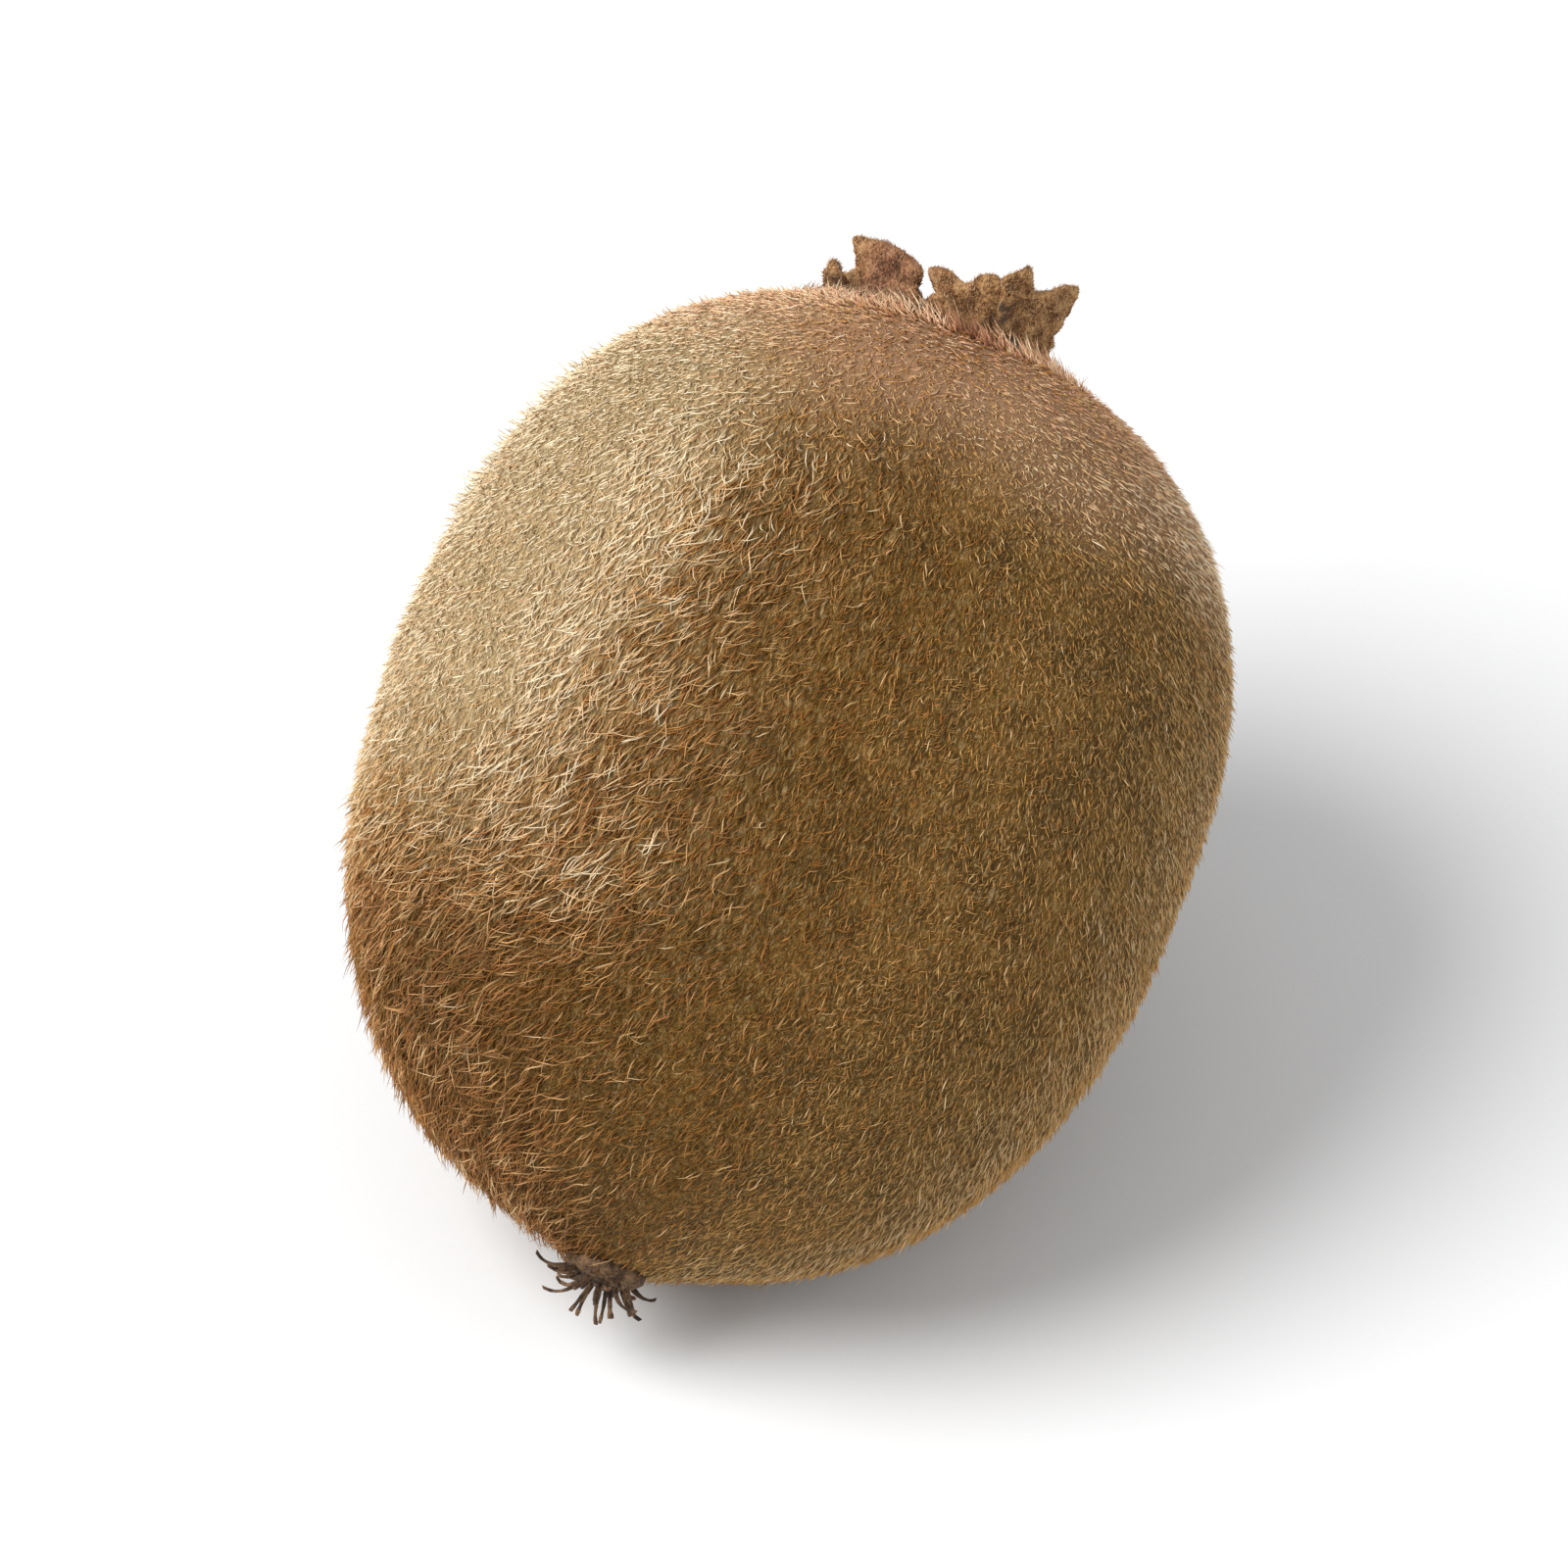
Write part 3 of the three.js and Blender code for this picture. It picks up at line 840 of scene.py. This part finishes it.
overMaps = {
    "density": grows * (1 + 0.2 * goldSide - 0.15 * lowShaggy + 0.05 * finePatchy - 0.35 * nearCrown),
    "long": 1.3 - 0.4 * goldSide + 0.45 * streakSide - 0.25 * fineSide + 0.4 * lowShaggy + 0.1 * patchy,
    "rise": rise * (0.3 + 0.7 * clearOfRest),
    "comb": combed(turnRound),
    "wild": 0.26 + 1.5 * felted + 0.2 * lowShaggy + 0.7 * fineSide + 0.3 * nearCrown,
    "tone": (0.24 + 0.6 * goldSide + 0.2 * paleStreak + 0.22 * fineSide - 0.09 * lowShaggy
             # paler towards the top of the golden side: painted light
             + 0.12 * goldSide * rising(level, -4, 20)
             # paler on the shoulder below the crown: partly its own pinkish tan, partly painted light
             + 0.42 * shoulder
             # paler on the far right: painted fill light
             + 0.17 * farRight
             # darker low down on the middle of the near side: painted shade
             - 0.1 * falling(level, 4, 14) * facing(195, 34)
             + 0.2 * hiddenSide + 0.2 * patchy * hiddenSide + 0.03 * finePatchy + 0.07 * flecks),
    "vary": (0.75 - 0.15 * goldSide + 0.5 * streakSide + 0.3 * lowShaggy - 0.38 * fineSide
             - 0.25 * nearCrown * (1 - streakSide) - 0.17 * farRight - 0.05 * shoulder),
    "red": red,
}
underMaps = {
    **overMaps,
    "density": overMaps["density"] * (1 + 0.2 * goldSide - 0.25 * streakSide),
    "tone": overMaps["tone"] - 0.2 * paleStreak - 0.08 * lowShaggy,
}
longHere = (0.1 - 0.04 * fineSide - 0.02 * farRight + 0.2 * goldSide + 0.8 * streakSide + 1.0 * lowShaggy
            + 0.26 * hiddenSide + 0.4 * patchy * hiddenSide + 0.6 * strays)
longMaps = {
    **overMaps,
    "density": grows * np.clip(longHere, 0.05, 1) * clearOfRest,
    "long": (1.7 + 0.6 * streakSide + 0.8 * lowShaggy - 0.3 * fineSide - 0.2 * goldSide
             + 0.2 * finePatchy + 1.0 * strays),
    "rise": overMaps["rise"] + 0.15 * felted + 0.5 * strays,
    "wild": 0.3 + 0.45 * lowShaggy + 0.8 * felted + 0.5 * strays,
    "tone": overMaps["tone"] + 0.16 + 0.12 * paleStreak - 0.04 * lowShaggy - 0.06 * fineSide,
}
crownMaps = {
    **overMaps,
    "density": grows * nearCrown * (0.75 + 1.0 * falling(coreRadius, 11, 2)),
    "long": 1.1 + 1.9 * falling(coreRadius, 11.5, 3),
    "rise": 0.45 + 0.5 * falling(coreRadius, 13, 3),
    "comb": combed(crownTurn),
    "wild": 0.5 + 0 * coreRadius,
    "tone": (0.72 - 0.1 * hiddenSide + 0.12 * finePatchy + 0.1 * goldSide
             - 0.1 * falling(coreRadius, 11, 2)
             # dark crown hairs at the foot of the sepal at -149 degrees: painted shadow between the
             # sepals
             - 0.75 * facing(211, 9) * falling(coreRadius, 12.4, 1.6)),
    "vary": 0.65 + 0.45 * falling(coreRadius, 13, 3),
    "red": 0.75 - 0.6 * falling(coreRadius, 11, 2),
}

fuzzMaterial = hairMaterial("golden_brown_fuzz", (
    (122, 85, 16), (160, 107, 42), (200, 158, 90), (251, 233, 200), (88, 60, 16), (194, 162, 116)))
longMaterial = hairMaterial("long_pale_hairs", (
    (132, 94, 38), (172, 120, 68), (214, 178, 124), (251, 236, 202), (84, 56, 18), (158, 122, 74)))
crownMaterial = hairMaterial("reddish_crown_hairs", (
    (140, 94, 62), (184, 128, 92), (216, 172, 130), (246, 218, 176), (110, 72, 46), (172, 128, 90)),
    redTint=(1.0, 0.86, 0.88, 1.0))

coat = []
for kind, maps, seeds in (("under", underMaps, (21, 22)), ("over", overMaps, (23, 24))):
    for side, seed in zip("ab", seeds):
        half = {**fuzz[kind], "Hairs per mm2": fuzz[kind]["Hairs per mm2"] / 2, "Seed": seed}
        coat.append(hairPiece(kind + "_fuzz_" + side, skin, maps, half, fuzzMaterial))
coat.append(hairPiece("long_hairs", skin, longMaps, {**fuzz["long"], "Seed": 31}, longMaterial))
coat.append(hairPiece("crown_hairs", skin, crownMaps, {**fuzz["crown"], "Seed": 41}, crownMaterial))
for piece in coat:
    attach(piece, "root")

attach(skin, "root")
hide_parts("fruit")


# The calyx: a woody plate round the stem scar, with dried sepals on its edge

calyxForm = {
    "radius": 7.5,
    "thickness": 0.8,
    "scarRadius": 2.9,
    "scarRim": 0.9,
    "scarHollow": 0.35,
    "groove": 0.45,
    "sides": 120,
    "steps": 34,
    "rootRadius": 6.8,
    "rootSunk": 0.65,
    "bellyAt": 3.4,
    "across": 44,
    "along": 24,
    "footThickness": 0.95,
    "edgeThickness": 0.8,
    "wrinkle": 0.32,
    "ripple": 0.13,
    "tear": 0.07,
    "crumbs": 26,
}
# For each sepal its place round the core, half-width at the root, lean and curl outwards, how far it cups
# inwards, and the points of its edge in mm, sideways and up
sepals = (
    (156, 1.2, -4, 8, 0.5, (
        (-3.2, 1.9), (-3.5, 2.7), (-3.8, 3.6), (-4.7, 4.5), (-4.3, 4.95), (-3.2, 4.8), (-2.0, 4.75),
        (-0.6, 4.5), (1.0, 4.0), (2.1, 3.4), (2.2, 2.7), (1.8, 1.9))),
    (-149, 1.9, 0, 6, 0.7, (
        (-2.0, 1.9), (-2.3, 2.7), (-3.3, 3.0), (-4.0, 3.25), (-3.8, 3.7), (-2.8, 3.85), (-1.7, 3.4),
        (-1.2, 3.5), (-0.8, 4.2), (0.2, 4.6), (0.9, 4.1), (1.5, 3.0))),
    (-115, 2.9, 2, 12, 0.7, (
        (-3.5, 3.4), (-3.6, 4.6), (-2.9, 5.4), (-2.2, 6.1), (-1.7, 5.5), (-1.2, 4.8), (-0.4, 5.0),
        (0.9, 5.8), (2.3, 6.4), (3.2, 6.6), (2.9, 6.0), (2.1, 5.0), (2.0, 3.9), (2.3, 2.9))),
    (-22, 2.3, 10, 30, 0.6, (
        (-2.3, 2.6), (-2.6, 3.9), (-1.9, 4.6), (-1.0, 4.0), (-0.2, 4.6), (0.7, 5.0), (1.4, 4.3),
        (2.2, 4.7), (2.9, 3.9), (2.5, 2.6))),
    (64, 2.2, 14, 34, 0.4, (
        (-2.2, 2.2), (-2.6, 3.2), (-1.8, 3.9), (-0.8, 4.5), (0.1, 4.1), (0.9, 4.5), (1.9, 3.8),
        (2.9, 3.2), (2.4, 2.1))),
    (116, 1.6, 30, 34, 0.1, (
        (-1.5, 1.2), (-1.9, 2.5), (-1.2, 3.1), (-0.4, 2.5), (0.3, 3.2), (1.1, 3.3), (1.7, 2.4),
        (1.4, 1.2))),
    (-176, 1.6, 14, 24, 0.1, (
        (-1.4, 0.8), (-1.7, 1.8), (-1.1, 2.2), (-0.4, 1.5), (0.4, 2.3), (1.0, 2.2), (1.7, 1.7),
        (1.4, 0.8))),
)


# A smooth line through the points of an edge, as its place sideways and up at each side from -1 to 1
def edgeLine(edge, side):
    knots = np.array(edge, float)
    ends = np.concatenate([[2 * knots[0] - knots[1]], knots, [2 * knots[-1] - knots[-2]]])
    t = np.linspace(0, 1, 12, endpoint=False)[:, None]
    line = []
    for i in range(len(knots) - 1):
        p, q, r, w = ends[i:i + 4]
        line.append(0.5 * (2 * q + (r - p) * t + (2 * p - 5 * q + 4 * r - w) * t ** 2
                           + (3 * q - p - 3 * r + w) * t ** 3))
    line = np.concatenate(line + [knots[-1:]])
    steps = np.concatenate([[0], np.cumsum(np.linalg.norm(np.diff(line, axis=0), axis=1))])
    place = np.clip((side + 1) / 2, 0, 1) * steps[-1]
    return np.interp(place, steps, line[:, 0]), np.interp(place, steps, line[:, 1])


def sepalPoints(sepal, along, side, tear):
    turn, foot, lean, curl, cup, edge = sepal
    form = calyxForm
    edgeSide, edgeUp = edgeLine(edge, side)
    height = along * (edgeUp + tear)
    bend = curl * degree / form["bellyAt"] / 2
    lean = lean * degree
    shift = foot * side + (edgeSide - foot * side) * along
    out = (form["rootRadius"] + height * np.sin(lean + bend * height / 2)
           - cup * np.minimum(1, shift ** 2 / 9) * (0.3 + height / form["bellyAt"] / 2))
    up = (calyxSkinHeight(form["rootRadius"]) + fruitForm["gap"] + form["thickness"] - form["rootSunk"]
          + height * np.cos(lean + bend * height / 2))
    turn = turn * degree
    return np.stack([out * np.cos(turn) - shift * np.sin(turn),
                     out * np.sin(turn) + shift * np.cos(turn), up], -1)


def makeCalyx():
    form = calyxForm
    points, faces, shares = [], [], []

    under, over = [], []
    for i in range(form["steps"] + 1):
        r = form["radius"] * i / form["steps"]
        low = float(calyxSkinHeight(r))
        edge = 1 - 0.75 * float(smooth((r / form["radius"] - 0.72) / 0.28))
        rim = form["scarRim"] * math.exp(-(((r - form["scarRadius"]) / 0.45) ** 2))
        hollow = (form["scarHollow"] * math.exp(-((r / 1.2) ** 2))
                  + form["groove"] * math.exp(-(((r - 4.1) / 0.5) ** 2)))
        under.append((r, low + 0.05))
        over.append((r, low + fruitForm["gap"] + form["thickness"] * edge + rim - hollow))
    profile = under + over[::-1]
    plate = revolvedPoints(profile, form["sides"])
    turn, r = turnAndRadius(plate)
    upper = plate[:, 2] > calyxSkinHeight(r) + 0.15
    fibre = np.cos(38 * turn + 4 * lumps(plate, 2.0, 51, 1)) * rising(r, 1.2, 2) * 0.09
    rough = 0.13 * lumps(plate, 0.7, 52, 3) + 0.28 * lumps(plate, 1.9, 53, 2)
    plate[:, 2] += np.where(upper, (fibre + rough) * smooth(r / 0.8), 0)
    ragged = 1 + 0.05 * lumps(plate, 1.7, 54, 2) * rising(r, 6, 1.5)
    plate[:, :2] *= ragged[:, None]
    faces += revolved(profile, form["sides"])
    points.append(plate)
    shares.append(np.zeros(len(plate)))
    count = len(plate)

    rows, columns = form["along"], form["across"]
    alongGrid, sideGrid = np.meshgrid(np.linspace(0, 1, rows + 1), np.linspace(-1, 1, columns + 1),
                                      indexing="ij")
    along, side = alongGrid.ravel(), sideGrid.ravel()
    step = 1e-3
    for number, sepal in enumerate(sepals):
        jag = np.stack([side * 4.0 + number * 9.1, 0 * side, 0 * side], 1)
        tear = form["tear"] * lumps(jag, 1.0, 61, 3)
        middle = sepalPoints(sepal, along, side, tear)
        up, over = [sepalPoints(sepal, along + a, side + b, tear)
                    - sepalPoints(sepal, along - a, side - b, tear) for a, b in ((step, 0), (0, step))]
        normal = unit(np.cross(over, up))
        height = along * edgeLine(sepal[5], side)[1]
        free = smooth(height / 1.2)
        ridge = 0.05 * np.cos(side * 11 + 2.2 * lumps(middle, 1.5, 62, 1)) * free
        folds = form["wrinkle"] * lumps(middle, 1.25, 63 + number, 2) * free
        middle = middle + normal * (folds + ridge)[:, None]
        towardsEdge = np.maximum(np.clip((along - 0.8) / 0.2, 0, 1),
                                 np.clip((np.abs(side) - 0.78) / 0.22, 0, 1))
        thick = form["footThickness"] + (form["edgeThickness"] - form["footThickness"]) * along
        thick = thick * (0.14 + 0.86 * np.sqrt(1 - towardsEdge ** 2))
        edgeFade = towardsEdge ** 2
        for way, seed in ((1, 71), (-1, 72)):
            rough = form["ripple"] * lumps(middle, 0.45, seed, 3) * free
            points.append(middle + way * normal * (thick / 2 + rough * (1 - 0.6 * edgeFade))[:, None])
        faces += closedPlate(rows, columns, count)
        shares += [np.clip(height / 4, 0.05, 1)] * 2
        count += 2 * len(middle)

    # Crumbs of dead tissue along the ring
    dice = np.random.default_rng(81)
    places = [(118, 8.1), (124, 8.3), (131, 8.0), (137, 7.6), (-171, 7.4), (-178, 7.7), (175, 7.2),
              (-133, 8.1), (-136, 7.8), (-129, 8.2)]
    while len(places) < form["crumbs"]:
        places.append((dice.uniform(-180, 180), dice.uniform(6.6, 8.2)))
    for turn, r in places:
        crumb = bmesh.new()
        bmesh.ops.create_icosphere(crumb, subdivisions=2, radius=1.0)
        shape = np.array([v.co for v in crumb.verts])
        size = dice.uniform(0.32, 0.62) * np.array([dice.uniform(0.8, 1.5), dice.uniform(0.8, 1.5), 0.9])
        shape = shape * (1 + 0.4 * lumps(shape + dice.uniform(0, 50, 3), 0.8, 82, 2))[:, None] * size
        middle = np.array([r * math.cos(turn * degree), r * math.sin(turn * degree),
                           float(calyxSkinHeight(r)) + 0.7])
        faces += [tuple(v.index + count for v in face.verts) for face in crumb.faces]
        crumb.free()
        points.append(shape + middle)
        shares.append(np.full(len(shape), -1.0))
        count += len(shape)

    own = np.concatenate(points)
    made = meshObject("dried_sepals", placed(own), faces)
    faceOutwards(made.data)
    return made, own, np.concatenate(shares)


calyx, ownCalyx, calyxShare = makeCalyx()
calyxTurn, calyxRadius = turnAndRadius(ownCalyx)
calyxHeight = ownCalyx[:, 2] - calyxSkinHeight(calyxForm["rootRadius"])
burntAt = -146 + 3.4 * calyxHeight + 5 * lumps(ownCalyx, 0.9, 95, 2)
strands = 0.8 + 0.7 * lumps(ownCalyx * (1, 1, 0.35), 0.35, 96, 2)
charred = (strands * bumpRound(calyxTurn, burntAt, 7) * falling(calyxHeight, 4.6, 1.2)
           + 0.8 * bumpRound(calyxTurn, 128, 14) * smooth(2.6 - calyxHeight))
onPlate = (calyxShare == 0) * falling(calyxRadius, 6.6, 0.8)
# Darker rings on the plate round the scar, one in its groove: painted shade, carried along with the
# charred marks
groove = onPlate * (bump(calyxRadius, 3.9, 0.55) + 0.5 * bump(calyxRadius, 5.6, 0.7))
charred = np.clip((1 - onPlate) * (0.85 * charred + 0.7 * (calyxShare < 0)) + 0.75 * groove
                  + 0.2 * lumps(ownCalyx, 0.8, 91, 3), 0, 1)
reddish = bumpRound(calyxTurn, 156, 30) * (1 - onPlate)
scar = onPlate * falling(calyxRadius, 3.5, 0.5)
storeValues(calyx.data, "scar", scar * (0.75 + 0.25 * lumps(ownCalyx, 0.5, 94, 2)))
storeValues(calyx.data, "charred", charred)
storeValues(calyx.data, "reddish", reddish)
storeValues(calyx.data, "height", np.clip(calyxShare, 0, 1))


def calyxMaterial():
    material, tree, surface = newMaterial("dried_sepal_tissue", 0.85, 0.25)
    tan = mottled(tree, 1.1, 0.2, 1.1, (88, 58, 32), (150, 110, 68), (196, 156, 106))
    red = mottled(tree, 1.1, 0.2, 1.1, (72, 46, 32), (124, 84, 60), (172, 126, 96))
    scar = painting(tree, "scar")
    colour = mixed(tree, painting(tree, "reddish"), tan["Colour"], red["Colour"])
    colour = mixed(tree, product(tree, scar, 0.8), colour, shade(176, 142, 102))
    # Darker towards the foot of each sepal and over the plate round the scar: painted shade
    lower = ranged(tree, total(tree, painting(tree, "height"), scar), 0.0, 0.5, 0.75, 0.0)
    colour = mixed(tree, product(tree, lower, 0.6), colour, shade(74, 48, 30))
    grit = product(tree, calc(tree, "SUBTRACT", tan["Height"], 0.5), 1.6)
    # Charred marks, and painted shade in the plate's grooves, go to a greyish black
    burntAndGrooveShade = ranged(tree, total(tree, painting(tree, "charred"), grit), 0.35, 0.8, 0.0, 0.9)
    colour = mixed(tree, burntAndGrooveShade, colour, shade(54, 45, 37))
    tree.links.new(colour, surface.inputs["Base Color"])
    bumped(tree, surface, tan["Height"], 0.2 * mm, 1.0)
    return material


calyx.data.materials.append(calyxMaterial())
print("dried sepals made,", len(calyx.data.polygons), "faces")

# The short velvet on the sepals
calyxNormals = normalsOf(calyx.data)
upwards = leaned(np.tile([[0.0, 0.0, 1.0]], (len(ownCalyx), 1)))
velvet = {"Hairs per mm2": 38.0, "Longest": 1.0, "Root radius": 0.034, "Segments": 1, "Clump size": 0.7,
          "Clump pull": 0.15, "Clump turn": 0.7, "Clump tone": 0.2, "Tone spread": 0.25, "Lie down": 0.4,
          "Side bend": 0.2, "Seed": 51}
velvetMaps = {
    "density": np.clip(calyxShare * 2.5, 0, 1) * (1 - 0.6 * charred),
    "long": 0.42 + 0.1 * lumps(ownCalyx, 1.0, 92, 1),
    "rise": 0.75 + 0 * charred,
    "comb": laidFlat(upwards, calyxNormals),
    "wild": 0.9 + 0 * charred,
    # paler towards the tips of the sepals: painted highlight
    "tone": 0.58 - 0.14 * reddish - 0.6 * charred + 0.2 * calyxShare + 0.28 * lumps(ownCalyx, 1.1, 93, 2),
    "vary": 1 + 0 * charred,
    "red": 0.3 + 0.5 * reddish,
}
velvetMaterial = hairMaterial("sepal_velvet", (
    (78, 50, 34), (124, 82, 54), (166, 122, 84), (226, 190, 144), (80, 50, 32), (132, 94, 62)), 0.6)
velvetPiece = hairPiece("sepal_velvet", calyx, velvetMaps, velvet, velvetMaterial)

for piece in (calyx, velvetPiece):
    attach(piece, "root")
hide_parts("calyx")


# The dried styles at the blossom end

stylesForm = {
    "padRadius": 2.7,
    "padHeight": 0.9,
    "padSides": 40,
    "padSteps": 10,
    "count": 28,
    "length": 3.1,
    "radius": 0.17,
    "least": 12 * degree,
    "most": 64 * degree,
    "sides": 7,
    "rings": 9,
}


def makeStyles():
    form = stylesForm
    dice = np.random.default_rng(95)
    seat, face = [], []
    for i in range(form["padSteps"] + 1):
        r = form["padRadius"] * i / form["padSteps"]
        low = float(blossomSkinHeight(r))
        thick = form["padHeight"] * math.sqrt(1 - 0.8 * (r / form["padRadius"]) ** 2)
        seat.append((r, low + 0.1))
        face.append((r, low - fruitForm["gap"] - thick))
    profile = seat + face[::-1]
    pad = revolvedPoints(profile, form["padSides"])
    r = turnAndRadius(pad)[1]
    below = pad[:, 2] < blossomSkinHeight(r)
    pad[:, 2] += np.where(below, 0.2 * lumps(pad, 0.8, 96, 3), 0)
    points, faces = [pad], revolved(profile, form["padSides"])
    count = len(pad)
    sides = form["sides"]
    goldenTurn = math.pi * (3 - math.sqrt(5))
    for k in range(form["count"]):
        share = (k + 0.5) / form["count"]
        lean = form["least"] + (form["most"] - form["least"]) * share
        foot = form["padRadius"] * 0.78 * math.sqrt(share)
        turn = k * goldenTurn + dice.uniform(-0.25, 0.25)
        length = form["length"] * dice.uniform(0.55, 1.0)
        sway, curl = dice.uniform(-0.5, 0.5), dice.uniform(-0.2, 0.9)
        start = np.array([foot, 0, float(blossomSkinHeight(foot)) - fruitForm["gap"] - 0.35])
        rings = []
        for i in range(form["rings"] + 1):
            t = i / form["rings"]
            angle = lean + curl * t * t * 0.7
            way = np.array([math.sin(angle), 0.35 * sway * t * t, -math.cos(angle)])
            middle = start + length * t * way
            wide = form["radius"] * (1.25 - 0.75 * t + (0.35 if i >= form["rings"] - 1 else 0.0))
            wide *= dice.uniform(0.85, 1.15)
            for j in range(sides):
                around = 2 * math.pi * j / sides
                outwards = math.cos(around) * np.array([math.cos(angle), 0, math.sin(angle)])
                rings.append(middle + wide * (outwards + math.sin(around) * np.array([0, 1.0, 0])))
        rings = np.array(rings)
        c, s = math.cos(turn), math.sin(turn)
        x, y, z = rings.T
        rings = np.stack([x * c - y * s, x * s + y * c, z], 1)
        for i in range(form["rings"]):
            for j in range(sides):
                a, b = count + i * sides + j, count + i * sides + (j + 1) % sides
                faces.append((a, b, b + sides, a + sides))
        faces.append(tuple(count + j for j in range(sides))[::-1])
        faces.append(tuple(count + form["rings"] * sides + j for j in range(sides)))
        points.append(rings)
        count += len(rings)
    made = meshObject("dried_style_tuft", placed(np.concatenate(points)), faces)
    faceOutwards(made.data)
    material, tree, surface = newMaterial("dried_style_tissue", 0.8, 0.3)
    dry = mottled(tree, 1.2, 0.25, 0.7, (42, 30, 21), (80, 58, 39), (128, 98, 68))
    tree.links.new(dry["Colour"], surface.inputs["Base Color"])
    bumped(tree, surface, dry["Height"], 0.1 * mm, 0.7)
    made.data.materials.append(material)
    return made


styles = makeStyles()
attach(styles, "root")
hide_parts("dried_styles")
print("dried styles made")

shown = [piece.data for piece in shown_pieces() if piece.type == "MESH"]
print("shown triangles:", sum(trianglesOf(mesh) for mesh in shown))
